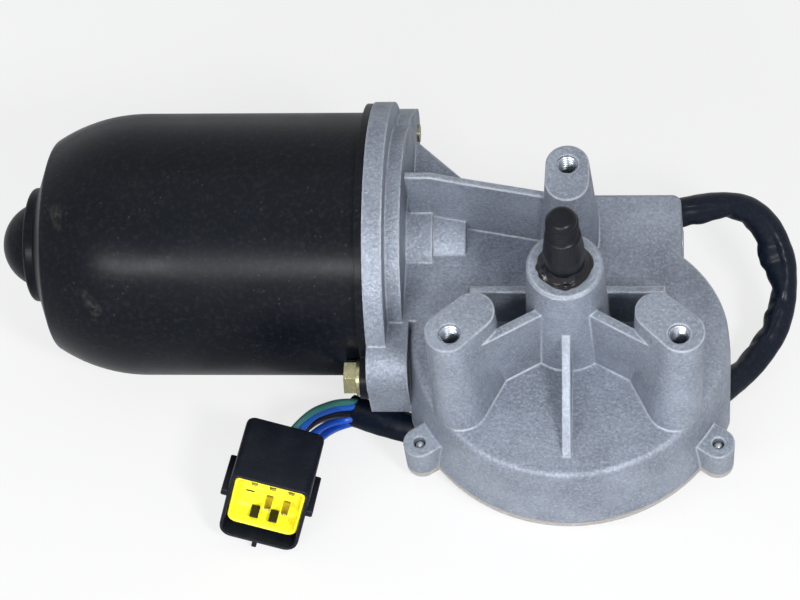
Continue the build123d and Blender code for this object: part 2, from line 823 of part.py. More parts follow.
def cap_side(inset, x):
    """Radius of the ball cap's surface at a place on the motor axis."""
    ball = cap_ball(inset)
    return sqrt(ball ** 2 - (cap_tip_x + inset + ball - x) ** 2)


with BuildPart() as motor_yoke:
    with BuildSketch(motor_section) as yoke_profile:
        with BuildLine():
            for inset in (0.0, yoke_wall):
                side_r = yoke_r - inset
                edge_x = knee_x - (dome_radius - inset) * sin(lean)
                edge_r = side_r - (dome_radius - inset) * (1 - cos(lean))
                cap_middle_x = cap_tip_x + inset + cap_rise / 4
                Line((flange_x, side_r), (knee_x, side_r))
                TangentArc((knee_x, side_r), (edge_x, edge_r), tangent=(-1, 0))
                Polyline(
                    (edge_x, edge_r),
                    (ring_foot_x + inset, ring_r - inset),
                    (ring_top_x + inset, ring_r - inset),
                    (ring_top_x + inset, cap_r - inset),
                )
                ThreePointArc(
                    (ring_top_x + inset, cap_r - inset),
                    (cap_middle_x, cap_side(inset, cap_middle_x)),
                    (cap_tip_x + inset, 0),
                )
            Line((flange_x, yoke_r - yoke_wall), (flange_x, yoke_r))
            Line((cap_tip_x, 0), (cap_tip_x + yoke_wall, 0))
        make_face()
        fillet(yoke_profile.vertices().sort_by_distance((corner_x, corner_r))[0], radius=dome_corner)
        fillet(yoke_profile.vertices().sort_by_distance((ring_top_x, ring_r))[0], radius=ring_corner)
    revolve(axis=worm_axis)
    with BuildSketch(across(flange_x - yoke_flange_wall)) as yoke_rim:
        Circle(yoke_flange_r)
        for turn in bolt_turns:
            with PolarLocations(ear_bolt_offset, 1, start_angle=turn):
                Circle(yoke_ear_r)
            with PolarLocations(ear_bolt_offset - yoke_ear_neck / 2, 1, start_angle=turn):
                Rectangle(yoke_ear_neck, 2 * yoke_ear_r)
        Circle(yoke_r - yoke_wall, mode=Mode.SUBTRACT)
        with Locations(*ear_points):
            Circle(bolt_r + bolt_hole_gap, mode=Mode.SUBTRACT)
    extrude(amount=yoke_flange_wall)

with BuildPart() as yoke_bolts:
    with BuildSketch(across(bolt_seat_x)):
        with Locations(*ear_points):
            RegularPolygon(radius=bolt_head_across_flats / 2, side_count=6, major_radius=False)
    extrude(amount=-bolt_head_height)
    with BuildSketch(across(bolt_seat_x)):
        with Locations(*ear_points):
            Circle(bolt_r)
    extrude(amount=flange_x + bolt_tip - bolt_seat_x)

with BuildPart() as bolt_washers:
    with BuildSketch(across(bolt_seat_x)):
        with Locations(*ear_points):
            Circle(washer_r)
            Circle(bolt_r + bolt_hole_gap, mode=Mode.SUBTRACT)
    extrude(amount=washer_wall)

# --- Magnets -----------------------------------------------------------------------
magnet_start_x = core_centre_x - magnet_length / 2

with BuildPart() as magnets:
    with BuildSketch(across(magnet_start_x)):
        Circle(magnet_outer_r)
        Circle(magnet_inner_r, mode=Mode.SUBTRACT)
        Rectangle(4 * yoke_r, magnet_gap, mode=Mode.SUBTRACT)
    extrude(amount=magnet_length)

with BuildPart() as magnet_clips:
    for side in (-1, 1):
        with BuildSketch(across(core_centre_x - clip_length / 2)):
            with BuildLine():
                half = magnet_gap / 2
                Polyline(
                    (side * (magnet_outer_r - 3.8), half),
                    (side * (magnet_outer_r - 7.5), half),
                    (side * (magnet_outer_r - 5.5), half - 4.5),
                    (side * (magnet_outer_r - 2.8), half - 6.0),
                    (side * (magnet_outer_r - 1.2), 0),
                    (side * (magnet_outer_r - 2.8), 6.0 - half),
                    (side * (magnet_outer_r - 5.5), 4.5 - half),
                    (side * (magnet_outer_r - 7.5), -half),
                    (side * (magnet_outer_r - 3.8), -half),
                    (side * (magnet_outer_r - 3.4), 5.5 - half),
                    (side * (magnet_outer_r - 1.2), 8.0 - half),
                    (side * (magnet_outer_r - 0.1), 0),
                    (side * (magnet_outer_r - 1.2), half - 8.0),
                    (side * (magnet_outer_r - 3.4), half - 5.5),
                    close=True,
                )
            make_face()
        extrude(amount=clip_length)

# --- Armature ------------------------------------------------------------------------
core_start_x = core_centre_x - core_length / 2
core_end_x = core_centre_x + core_length / 2
winding_end_x = core_end_x + winding_length
riser_start_x = winding_end_x + 0.5
shaft_start_x = cap_tip_x + yoke_wall + shaft_float
shaft_end_x = tunnel_end_x - shaft_float


def worm_section_points(count):
    """Flank points of the worm in a section square to its axis, root first."""
    points = []
    for step in range(count + 1):
        radius = worm_root_r + (worm_tip_r - worm_root_r) * step / count
        flank = (radius - worm_pitch_r) * tan(radians(pressure_angle))
        half_width = worm_lead / 4 - tooth_clearance / 4 - flank
        angle = 2 * pi * half_width / worm_lead
        points.append((radius * cos(angle), radius * sin(angle)))
    return points


with BuildSketch(Plane.XY) as worm_section:
    upper = worm_section_points(4)
    lower = [(x, -y) for x, y in upper]
    with BuildLine():
        Polyline(*upper)
        ThreePointArc(upper[-1], (worm_tip_r, 0), lower[-1])
        Polyline(*lower)
        ThreePointArc(upper[0], (-worm_root_r, 0), lower[0])
    make_face()
worm_turns = 360 * worm_length / worm_lead
worm_thread = Solid.extrude_linear_with_rotation(
    worm_section.sketch.face(), (0, 0, 0), (0, 0, worm_length), worm_turns
)
worm_place = Plane(origin=(-worm_length / 2, worm_y, worm_z), x_dir=(0, 1, 0), z_dir=(1, 0, 0))
worm_thread = worm_place.location * worm_thread.rotate(Axis.Z, 180 - worm_turns / 2)

with BuildPart() as armature_shaft:
    add(worm_thread)
    for start_x, end_x, radius in (
        (shaft_start_x, -worm_length / 2, armature_shaft_r),
        (worm_length / 2, worm_length / 2 + 3, worm_root_r),
        (worm_length / 2 + 3, shaft_end_x, end_journal_r),
    ):
        with BuildSketch(across(start_x)):
            Circle(radius)
        extrude(amount=end_x - start_x)

with BuildPart() as armature_core:
    with BuildSketch(across(core_start_x)):
        Circle(core_r)
        with PolarLocations(0, core_slots):
            with Locations((core_r - 1, 0)):
                Rectangle(4, core_slot_mouth, mode=Mode.SUBTRACT)
            with Locations((core_r - 2 - core_slot_depth / 2, 0)):
                Trapezoid(core_slot_width, core_slot_depth, core_slot_taper, rotation=90, mode=Mode.SUBTRACT)
        Circle(armature_shaft_r, mode=Mode.SUBTRACT)
    extrude(amount=core_length)

with BuildPart() as armature_windings:
    with BuildSketch(across(core_start_x)):
        with PolarLocations(0, core_slots):
            with Locations((core_r - 2 - core_slot_depth / 2, 0)):
                Trapezoid(
                    core_slot_width - 2 * winding_gap,
                    core_slot_depth - 2 * winding_gap,
                    core_slot_taper,
                    rotation=90,
                )
    extrude(amount=core_length)
    for start_x, direction in ((core_start_x, -1), (core_end_x, 1)):
        with BuildSketch(motor_section):
            with BuildLine():
                Polyline(
                    (start_x, winding_bore_r),
                    (start_x, winding_r),
                    (start_x + direction * winding_length * 0.45, winding_r + 1),
                    (start_x + direction * winding_length * 0.9, winding_r - 2),
                    (start_x + direction * winding_length, winding_r - 7),
                    (start_x + direction * winding_length * 0.8, winding_bore_r),
                    close=True,
                )
            make_face()
        revolve(axis=worm_axis)

with BuildPart() as commutator:
    with BuildSketch(across(riser_start_x)):
        Circle(riser_r)
    extrude(amount=riser_wall)
    with BuildSketch(across(riser_start_x)):
        Circle(commutator_r)
    extrude(amount=riser_wall + commutator_length)
    with BuildSketch(across(riser_start_x)):
        with PolarLocations(0, core_slots):
            with Locations((riser_r, 0)):
                Rectangle(2 * (riser_r - commutator_r + 1), bar_slot)
    extrude(amount=riser_wall + commutator_length, mode=Mode.SUBTRACT)
    with BuildSketch(across(riser_start_x)):
        Circle(armature_shaft_r)
    extrude(amount=riser_wall + commutator_length, mode=Mode.SUBTRACT)

# --- Brush gear -------------------------------------------------------------------
brush_plate_end_x = flange_x + recess_depth
brush_plate_x = brush_plate_end_x - brush_plate_wall
box_depth = brush_depth + 2 * brush_box_wall
brush_inner_r = commutator_r + brush_gap
box_inner_r = brush_inner_r + 2.0


def brush_box_plane(angle):
    """Plane standing on the commutator at an angle, X along the motor axis."""
    out = (0, cos(radians(angle)), sin(radians(angle)))
    return Plane(origin=(brush_plate_x - box_depth / 2, worm_y, worm_z), x_dir=(1, 0, 0), z_dir=out)


with BuildPart() as brush_plate:
    with BuildSketch(across(brush_plate_x)):
        Circle(recess_r)
        Circle(brush_plate_bore_r, mode=Mode.SUBTRACT)
    extrude(amount=brush_plate_wall)

with BuildPart() as brush_holders:
    for angle in brush_angles:
        with BuildSketch(brush_box_plane(angle).offset(box_inner_r)):
            Rectangle(box_depth, brush_width + 2 * brush_box_wall)
            Rectangle(brush_depth + 2 * brush_slack, brush_width + 2 * brush_slack, mode=Mode.SUBTRACT)
        extrude(amount=brush_box_length)

with BuildPart() as brushes:
    for angle in brush_angles:
        with BuildSketch(brush_box_plane(angle).offset(brush_inner_r)):
            Rectangle(brush_depth, brush_width)
        extrude(amount=brush_length)

with BuildPart() as brush_springs:
    for angle in brush_angles:
        with BuildSketch(brush_box_plane(angle).offset(brush_inner_r + brush_length)):
            Rectangle(brush_depth - 2.0, 3.0)
        extrude(amount=spring_reach)
        roll_reach = brush_inner_r + brush_length + spring_reach + spring_roll_r - spring_sink
        with Locations(brush_box_plane(angle).offset(roll_reach).location):
            Cylinder(spring_roll_r, brush_depth - 2.0, rotation=(0, 90, 0))

# --- Bearings on the motor axis ----------------------------------------------------
with BuildPart() as bearing_outer_ring:
    with BuildSketch(across(bearing_start_x)):
        Circle(bearing_outer_r)
        Circle(race_outer_r, mode=Mode.SUBTRACT)
    extrude(amount=bearing_width)

with BuildPart() as bearing_inner_ring:
    with BuildSketch(across(bearing_start_x)):
        Circle(race_inner_r)
        Circle(armature_shaft_r, mode=Mode.SUBTRACT)
    extrude(amount=bearing_width)

with BuildPart() as bearing_shields:
    for start_x in (bearing_start_x + 0.3, bearing_end_x - 0.3 - shield_wall):
        with BuildSketch(across(start_x)):
            Circle(race_outer_r)
            Circle(race_inner_r + running_gap, mode=Mode.SUBTRACT)
        extrude(amount=shield_wall)

with BuildPart() as end_bush:
    with BuildSketch(across(tunnel_end_x - end_bush_length)):
        Circle(tunnel_r)
        Circle(end_journal_r + running_gap, mode=Mode.SUBTRACT)
    extrude(amount=end_bush_length)

with BuildPart() as thrust_screw:
    with BuildSketch(across(tunnel_end_x + thrust_gap)):
        Circle(thrust_screw_r)
    extrude(amount=block_end_x - 0.6 - tunnel_end_x - thrust_gap)
    with BuildSketch(across(block_end_x - 0.6 - thrust_key_depth)):
        RegularPolygon(radius=thrust_key_flats / 2, side_count=6, major_radius=False)
    extrude(amount=thrust_key_depth, mode=Mode.SUBTRACT)

retainer_x = ring_top_x + yoke_wall
bush_nose_x = retainer_x - rear_bush_length
with BuildPart() as rear_bush:
    with BuildSketch(motor_section):
        with BuildLine():
            Polyline(
                (retainer_x, armature_shaft_r + running_gap),
                (retainer_x, cap_r - yoke_wall),
                (bush_nose_x, cap_side(yoke_wall, bush_nose_x)),
                (bush_nose_x, armature_shaft_r + running_gap),
                close=True,
            )
        make_face()
    revolve(axis=worm_axis)

with BuildPart() as bush_retainer:
    with BuildSketch(across(retainer_x)):
        Circle(retainer_r)
        Circle(armature_shaft_r + 1.5, mode=Mode.SUBTRACT)
        with PolarLocations(retainer_r, 8):
            Rectangle(7.0, 2.0, mode=Mode.SUBTRACT)
    extrude(amount=retainer_wall)

# --- Lying position ------------------------------------------------------------------
slope = atan2(plate_r - yoke_r, yoke_straight)


def bench_up(tilt):
    """Direction square to the bench, in the gearbox's axes."""
    return Vector(sin(slope), cos(slope) * sin(tilt), cos(slope) * cos(tilt))


def lowest(centre, axis, radius, up):
    """Height of the lowest point of a round rim above a plane through the origin."""
    return Vector(*centre).dot(up) - radius * sqrt(1 - Vector(*axis).dot(up) ** 2)


def rocking(tilt):
    """Height of the flange's lowest point above the cover's lowest point."""
    up = bench_up(tilt)
    flange = lowest((flange_x, worm_y, worm_z), (1, 0, 0), plate_r, up)
    return flange - lowest((0, 0, -gasket_wall - cover_wall), (0, 0, 1), drum_r, up)


tilt_low = 0.1
tilt_high = 0.7
for attempt in range(50):
    tilt_middle = (tilt_low + tilt_high) / 2
    if rocking(tilt_low) * rocking(tilt_middle) <= 0:
        tilt_high = tilt_middle
    else:
        tilt_low = tilt_middle
tilt = (tilt_low + tilt_high) / 2
up = bench_up(tilt)
rest_level = lowest((0, 0, -gasket_wall - cover_wall), (0, 0, 1), drum_r, up)
bench = Plane(origin=up * rest_level, x_dir=Vector(1, 0, 0) - up * up.X, z_dir=up)
lying = bench.location.inverse()

# --- Cable boot on the rear wall --------------------------------------------------
sleeve_start = Vector(*sleeve_route[0])
sleeve_start_drawn = bench.from_local_coords(sleeve_start)
sleeve_heading = bench.from_local_coords(Vector(*sleeve_route[1])) - sleeve_start_drawn
elbow_y = block_rear_y + boot_reach
elbow = Vector(boot_x, elbow_y, boot_z)

with BuildPart() as cable_boot:
    # stub filling the slot in the wall, flush with the joint face
    with BuildSketch(behind(block_rear_y - boot_stub, 0)):
        with Locations((0, -boot_z)):
            Circle(boot_hole_r)
        with Locations((0, -boot_z / 2)):
            Rectangle(2 * boot_hole_r, boot_z)
    extrude(amount=boot_stub + 0.5)
    with BuildSketch(behind(block_rear_y, boot_z)):
        Circle(boot_flange_r)
    extrude(amount=boot_flange_wall)
    with BuildSketch(behind(block_rear_y, boot_z)):
        Circle(boot_neck_r)
    extrude(amount=boot_reach)
    with Locations(elbow):
        Sphere(boot_neck_r)
    with BuildSketch(Plane(origin=elbow, z_dir=sleeve_start_drawn - elbow)):
        Circle(boot_neck_r)
    extrude(amount=(sleeve_start_drawn - elbow).length - boot_lip / 2)
    with BuildSketch(Plane(origin=sleeve_start_drawn, z_dir=-sleeve_heading)):
        Circle(boot_lip_r)
    extrude(amount=boot_lip)
    # bore for the leads, open into the worm chamber
    with BuildSketch(behind(block_rear_y - boot_stub, boot_z)):
        Circle(boot_bore_r)
    extrude(amount=boot_stub + boot_reach, mode=Mode.SUBTRACT)

# --- Cable sleeve and leads, drawn on the bench ------------------------------------
def bend_radii(route):
    """Radii whose arcs take up nine tenths of the shorter run at each corner."""
    radii = []
    for before, corner, after in zip(route, route[1:], route[2:]):
        run_in = Vector(*corner) - Vector(*before)
        run_out = Vector(*after) - Vector(*corner)
        half_turn = radians(run_in.get_angle(run_out)) / 2
        radii.append(0.45 * min(run_in.length, run_out.length) / tan(half_turn))
    return radii


with BuildPart() as cable_sleeve:
    with BuildLine() as sleeve_path:
        FilletPolyline(*sleeve_route, radius=bend_radii(sleeve_route))
    with BuildSketch(Plane(origin=sleeve_path.line @ 0, z_dir=sleeve_path.line % 0)):
        Circle(sleeve_r)
    sweep()

with BuildPart() as connector_leads:
    for route in lead_routes:
        with BuildLine() as lead_path:
            FilletPolyline(*route, radius=bend_radii(route))
        with BuildSketch(Plane(origin=lead_path.line @ 0, z_dir=lead_path.line % 0)):
            Circle(lead_r)
        sweep(path=lead_path.line)

sleeve_length = sum(edge.length for edge in sleeve_path.line.edges())
print("sleeve radii", [round(bend, 1) for bend in bend_radii(sleeve_route)])
print("sleeve length", sleeve_length, "volume", cable_sleeve.part.volume)
print("expected volume", pi * sleeve_r ** 2 * sleeve_length)
for route in lead_routes:
    print("lead radii", [round(bend, 1) for bend in bend_radii(route)])
print("leads volume", connector_leads.part.volume)

# --- Connector, drawn with its mouth at the origin facing +Z -------------------------
with BuildPart() as connector_housing:
    with BuildSketch(Plane.XY.offset(-connector_length)):
        RectangleRounded(connector_width, connector_height, connector_corner)
    extrude(amount=connector_length)
    with BuildSketch(Plane.XY.offset(-shroud_length)):
        with Locations((0, -shroud_drop / 2)):
            RectangleRounded(shroud_width, connector_height - shroud_drop, connector_corner)
    extrude(amount=shroud_length)
    # slide rails on both shoulders
    for side in (-1, 1):
        with BuildSketch(Plane.XY.offset(-rail_length)):
            with Locations((side * (connector_width / 2 + rail_reach / 2 - 0.5), connector_height / 2 - 5.0)):
                Rectangle(rail_reach + 1.0, rail_wall)
        extrude(amount=rail_length)
    # latch bridge on top
    with BuildSketch(Plane.XY.offset(-connector_length + 4)):
        with Locations((0, connector_height / 2 + latch_height / 2 - 0.5)):
            Rectangle(latch_width, latch_height + 1)
    extrude(amount=latch_length)
    # mouth
    with BuildSketch(Plane.XY):
        with Locations((0, -shroud_drop / 4)):
            RectangleRounded(mouth_width, mouth_height, 1.5)
    extrude(amount=-mouth_depth, mode=Mode.SUBTRACT)
    # seat of the wire seal
    with BuildSketch(Plane.XY.offset(-connector_length)):
        RectangleRounded(seal_width, seal_height, 2.5)
    extrude(amount=seal_depth, mode=Mode.SUBTRACT)
    # polarising nub below the mouth
    with BuildSketch(Plane.XY.offset(-6)):
        with Locations((0, -connector_height / 2)):
            Rectangle(4.0, 2.0)
    extrude(amount=5)
    with BuildSketch(Plane.XY.offset(-6)):
        with Locations((0, -connector_height / 2 - 1.65)):
            Rectangle(6.0, 1.3)
    extrude(amount=5, mode=Mode.SUBTRACT)

with BuildPart() as connector_insert:
    with BuildSketch(Plane.XY.offset(-mouth_depth)):
        with Locations((0, -shroud_drop / 4)):
            RectangleRounded(mouth_width - 2 * insert_gap, mouth_height - 2 * insert_gap, 1.5)
    extrude(amount=insert_wall)
    with BuildSketch(Plane.XY.offset(-mouth_depth)):
        with Locations((0, -shroud_drop / 4)):
            RectangleRounded(mouth_width - 2 * insert_gap, mouth_height - 2 * insert_gap, 1.5)
            RectangleRounded(
                mouth_width - 2 * insert_gap - 2 * insert_wall,
                mouth_height - 2 * insert_gap - 2 * insert_wall,
                insert_corner,
                mode=Mode.SUBTRACT,
            )
    extrude(amount=mouth_depth - insert_setback)
    with BuildSketch(Plane.XY.offset(-mouth_depth)):
        with Locations(*terminal_points):
            Rectangle(socket_width, socket_height)
    extrude(amount=mouth_depth - socket_setback)
    with BuildSketch(Plane.XY.offset(-mouth_depth)):
        with Locations(*terminal_points):
            Rectangle(socket_width - 1.6, socket_height - 1.6)
    extrude(amount=mouth_depth, mode=Mode.SUBTRACT)

with BuildPart() as connector_terminals:
    with BuildSketch(Plane.XY.offset(-mouth_depth)):
        with Locations(*terminal_points):
            Rectangle(socket_width - 1.6, terminal_wall)
    extrude(amount=mouth_depth - socket_setback - 1.0)

with BuildPart() as wire_seal:
    with BuildSketch(Plane.XY.offset(-connector_length - seal_proud)):
        RectangleRounded(seal_width, seal_height, 2.5)
    extrude(amount=seal_depth + seal_proud)

connector_axis = Vector(-sin(radians(connector_yaw)), -cos(radians(connector_yaw)), 0)
connector_across = Vector(cos(radians(connector_yaw)), -sin(radians(connector_yaw)), 0)
connector_plane = Plane(origin=connector_mouth, x_dir=connector_across, z_dir=connector_axis)
connector_place = connector_plane.location * Location((0, 0, 0), (0, 0, -connector_roll))

# --- Labels, position on the bench, and export --------------------------------------
mechanical = {
    "gear_housing": gear_housing,
    "cover_gasket": cover_gasket,
    "gear_cover": gear_cover,
    "cover_screws": cover_screws,
    "output_shaft": output_shaft,
    "output_bush_lower": output_bush_lower,
    "output_bush_upper": output_bush_upper,
    "shaft_seal": shaft_seal,
    "shaft_circlip": shaft_circlip,
    "thrust_washer": thrust_washer,
    "wheel_hub": wheel_hub,
    "worm_wheel": worm_wheel,
    "park_disc": park_disc,
    "contact_carrier": contact_carrier,
    "contact_fingers": contact_fingers,
    "motor_yoke": motor_yoke,
    "yoke_bolts": yoke_bolts,
    "bolt_washers": bolt_washers,
    "magnets": magnets,
    "magnet_clips": magnet_clips,
    "armature_shaft": armature_shaft,
    "armature_core": armature_core,
    "armature_windings": armature_windings,
    "commutator": commutator,
    "brush_plate": brush_plate,
    "brush_holders": brush_holders,
    "brushes": brushes,
    "brush_springs": brush_springs,
    "bearing_outer_ring": bearing_outer_ring,
    "bearing_inner_ring": bearing_inner_ring,
    "bearing_shields": bearing_shields,
    "end_bush": end_bush,
    "thrust_screw": thrust_screw,
    "rear_bush": rear_bush,
    "bush_retainer": bush_retainer,
    "cable_boot": cable_boot,
}
on_bench = {"cable_sleeve": cable_sleeve, "connector_leads": connector_leads}
plugged = {
    "connector_housing": connector_housing,
    "connector_insert": connector_insert,
    "connector_terminals": connector_terminals,
    "wire_seal": wire_seal,
}
for name, piece in mechanical.items():
    piece.part.label = name
    piece.part.move(lying)
for name, piece in plugged.items():
    piece.part.label = name
    piece.part.move(connector_place)
for name, piece in on_bench.items():
    piece.part.label = name

boxes = [piece.part.bounding_box() for piece in mechanical.values()]
middle_x = (min(box.min.X for box in boxes) + max(box.max.X for box in boxes)) / 2
middle_y = (min(box.min.Y for box in boxes) + max(box.max.Y for box in boxes)) / 2
floor_z = min(box.min.Z for box in boxes)
centring = Location((-middle_x, -middle_y, -floor_z))
os.makedirs("parts", exist_ok=True)
for name, piece in {**mechanical, **on_bench, **plugged}.items():
    piece.part.move(centring)
    export_step(piece.part, "parts/" + name + ".step")

print("centring", -middle_x, -middle_y, -floor_z, "tilt", degrees(tilt), "up", up)
named_points = [("output", (0, 0, 0)), ("worm", (0, worm_y, worm_z))]
named_points += [("hole", (*hole, mount_top_z)) for hole in mount_holes]
for name, point in named_points:
    print(name, (centring * lying * Location(point)).position)
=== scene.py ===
# %% [markdown]
# # A windscreen wiper motor, piece by piece
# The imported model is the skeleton: a cast gearbox, a black steel motor can, an output shaft and a cable with its
# plug. It is loaded as it is, and each cell below adds a surface or a finish to it.

# %% Load the frame
import bmesh
import bpy
import json
import math
import numpy as np
from mathutils import Matrix, Vector


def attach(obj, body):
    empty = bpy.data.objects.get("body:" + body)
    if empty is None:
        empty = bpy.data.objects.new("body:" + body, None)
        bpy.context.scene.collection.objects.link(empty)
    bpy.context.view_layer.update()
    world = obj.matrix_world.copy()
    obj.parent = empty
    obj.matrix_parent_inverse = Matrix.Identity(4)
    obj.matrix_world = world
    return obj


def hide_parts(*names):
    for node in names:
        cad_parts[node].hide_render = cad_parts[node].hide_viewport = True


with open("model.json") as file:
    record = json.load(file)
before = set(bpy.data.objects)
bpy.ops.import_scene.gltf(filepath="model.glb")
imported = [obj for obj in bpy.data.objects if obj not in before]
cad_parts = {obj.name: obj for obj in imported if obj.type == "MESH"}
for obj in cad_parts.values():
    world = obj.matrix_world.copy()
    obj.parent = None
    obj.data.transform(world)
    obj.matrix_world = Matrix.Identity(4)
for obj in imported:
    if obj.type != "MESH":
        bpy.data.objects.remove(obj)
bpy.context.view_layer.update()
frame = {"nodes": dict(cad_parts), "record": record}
nodes = frame["nodes"]
scene = bpy.context.scene
MM = 0.001

# %% [markdown]
# ## Where things lie
# The gearbox is tilted: it lies on the rim of its cover and on the side of the motor can. Its own axes are kept
# here, because nearly every piece is easiest to describe along the output shaft or along the motor.

# %% The gearbox's own axes
ACROSS = np.array([0.9989468, 0.0, 0.04588338])
REAR = np.array([-0.01730488, 0.92615255, 0.37675191])
ALONG = np.array([-0.04249501, -0.37714913, 0.92517712])
FOOT = np.array([68.87893146, -16.47986823, 22.86915518]) * MM
BENCH = np.array([68.87893146, -16.47986823, 0.05655678]) * MM
AXES = np.stack([ACROSS, REAR, ALONG])


def placed(points):
    """Gearbox millimetres to metres in the frame: each coordinate times its axis, plus the foot of the shaft."""
    return np.asarray(points, float) @ AXES * MM + FOOT


def on_bench(points):
    """Bench millimetres, counted from under the output shaft, to metres in the frame: a shift alone."""
    return np.asarray(points, float) * MM + BENCH


# %% [markdown]
# ## The camera
# It looks down on the motor from the front at about forty degrees, from some 0.8 m away. A long lens keeps the
# drum round and the can straight.

# %% Camera
SENSOR_WIDTH = 36.0
FOCAL_PIXELS = 2543.25
PICTURE_WIDTH = 800.0
EYE_SPOT = Vector((0.070833, -0.645336, 0.567618))
eye = bpy.data.cameras.new("eye")
eye.sensor_width = SENSOR_WIDTH
eye.lens = FOCAL_PIXELS * SENSOR_WIDTH / PICTURE_WIDTH
eye.shift_x = -0.1
eye.clip_start, eye.clip_end = 0.05, 20.0
eye_object = bpy.data.objects.new("eye", eye)
scene.collection.objects.link(eye_object)
forward = Vector((-0.039082, 0.772096, -0.634303)).normalized()
upward = Vector((-0.035302, 0.633325, 0.773081)).normalized()
rightward = forward.cross(upward).normalized()
upward = rightward.cross(forward)
turn = Matrix((rightward, upward, -forward)).transposed()
eye_object.matrix_world = Matrix.Translation(EYE_SPOT) @ turn.to_4x4()
scene.camera = eye_object
print("camera lens", round(eye.lens, 1), "mm")

# %% [markdown]
# ## The cable and its leads
# The cable leaves a rubber boot on the rear wall, falls round the right side, lies on the bench under the gearbox
# and ends in five thin leads that fan into the plug. A spline with one control point per bend gives the easy
# line of a soft cable.

# %% Cable sleeve and leads as splines
CABLE_ROUTE = [
    (32.2, 51.5, 50.6), (48.8, 56.5, 51.0), (63.2, 60.9, 43.1), (72.0, 52.9, 29.0), (70.1, 39.2, 15.5),
    (58.6, 24.6, 5.1), (39.3, -1.6, 5.1), (2.0, -17.0, 5.1), (-48.0, -15.5, 5.1), (-72.5, -3.5, 5.1),
]
LEAD_ROUTES = {
    "lead_teal": [
        (-69.0, -3.1, 8.0), (-75.2, -6.5, 10.8), (-79.4, -13.0, 14.6),
        (-83.7, -23.0, 20.1), (-90.2, -32.8, 18.1), (-90.4, -36.8, 18.1),
    ],
    "lead_light_blue": [
        (-70.0, -5.3, 7.8), (-75.2, -7.0, 9.0), (-79.3, -14.0, 13.5),
        (-83.6, -24.0, 19.0), (-87.1, -33.0, 17.8), (-87.4, -37.0, 17.8),
    ],
    "lead_blue": [
        (-71.3, -7.9, 5.0), (-75.3, -8.0, 3.9), (-79.1, -15.0, 8.3),
        (-81.8, -25.0, 13.9), (-85.4, -33.2, 15.4), (-85.7, -37.1, 15.4),
    ],
    "lead_black": [
        (-70.1, -5.5, 4.9), (-75.2, -8.0, 6.8), (-79.3, -15.0, 11.6),
        (-83.3, -25.0, 17.4), (-89.5, -32.9, 14.3), (-89.8, -36.9, 14.3),
    ],
    "lead_deep_blue": [
        (-70.8, -6.8, 2.4), (-75.1, -8.0, 1.7), (-78.2, -15.0, 5.5),
        (-80.6, -25.0, 10.9), (-84.9, -33.2, 11.7), (-85.2, -37.2, 11.7),
    ],
}
LEAD_DIAMETER = 2.5 * MM
SLEEVE_DIAMETER = 9.2 * MM


def soft_line(name, route, diameter):
    """A round cord along a quadratic spline whose control points are the route's points."""
    data = bpy.data.curves.new(name, "CURVE")
    data.dimensions = "3D"
    spline = data.splines.new("NURBS")
    points = on_bench(route)
    spline.points.add(len(points) - 1)
    spline.points.foreach_set("co", np.column_stack([points, np.ones(len(points))]).ravel())
    spline.order_u = 3
    spline.use_endpoint_u = True
    spline.resolution_u = 16
    # A tube is as thick as the point radius times the bevel depth, and a curve's box grows by the point radius. So
    # the real half width is the point radius and the depth is one; a radius left at one metre would spoil the box.
    spline.points.foreach_set("radius", [diameter / 2] * len(points))
    data.bevel_depth = 1.0
    data.bevel_resolution = 6
    data.use_fill_caps = True
    piece = bpy.data.objects.new(name, data)
    scene.collection.objects.link(piece)
    return piece


def centre_line(piece):
    """The spline's own points in metres, read from a copy of the curve without its thickness."""
    bare = piece.data.copy()
    bare.bevel_depth = 0
    holder = bpy.data.objects.new("measure", bare)
    mesh = bpy.data.meshes.new_from_object(holder)
    co = np.empty(len(mesh.vertices) * 3)
    mesh.vertices.foreach_get("co", co)
    bpy.data.meshes.remove(mesh)
    bpy.data.objects.remove(holder)
    return co.reshape(-1, 3)


def run_along(points):
    """Distance of each point from the first, counted along the line."""
    return np.concatenate([[0.0], np.cumsum(np.linalg.norm(np.diff(points, axis=0), axis=1))])


sleeve_line = soft_line("sleeve_line", CABLE_ROUTE, SLEEVE_DIAMETER)
sleeve_path = centre_line(sleeve_line)
bpy.data.objects.remove(sleeve_line)
leads = {name: soft_line(name, route, LEAD_DIAMETER) for name, route in LEAD_ROUTES.items()}
for name, lead in leads.items():
    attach(lead, "motor_unit")
    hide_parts("connector_leads")
    run_along(centre_line(lead))[-1]
lead_lengths = [round(run_along(centre_line(lead))[-1], 4) for lead in leads.values()]
print("sleeve", round(run_along(sleeve_path)[-1], 4), "m; leads", lead_lengths)

# %% [markdown]
# ## Surfaces from numbers
# A turned piece is a profile carried round an axis, so one helper makes the grid of points and another makes the
# mesh. The arrays are worked out whole, without a loop over vertices.

# %% Grid helpers
def grid_mesh(name, grid, closed_u=True, caps=False):
    """A sheet of quads over an array of shape (v, u, 3); u wraps round when closed, and caps close the ends."""
    rows, cols = grid.shape[:2]
    v = np.arange(rows - 1)[:, None]
    u = np.arange(cols if closed_u else cols - 1)[None, :]
    nxt = (u + 1) % cols
    quads = np.stack([v * cols + u, v * cols + nxt, (v + 1) * cols + nxt, (v + 1) * cols + u], axis=-1)
    faces = quads.reshape(-1, 4).tolist()
    if caps:
        faces.append(list(range(cols))[::-1])
        faces.append(list(range((rows - 1) * cols, rows * cols)))
    mesh = bpy.data.meshes.new(name)
    mesh.from_pydata(grid.reshape(-1, 3).tolist(), [], faces)
    mesh.update()
    return mesh


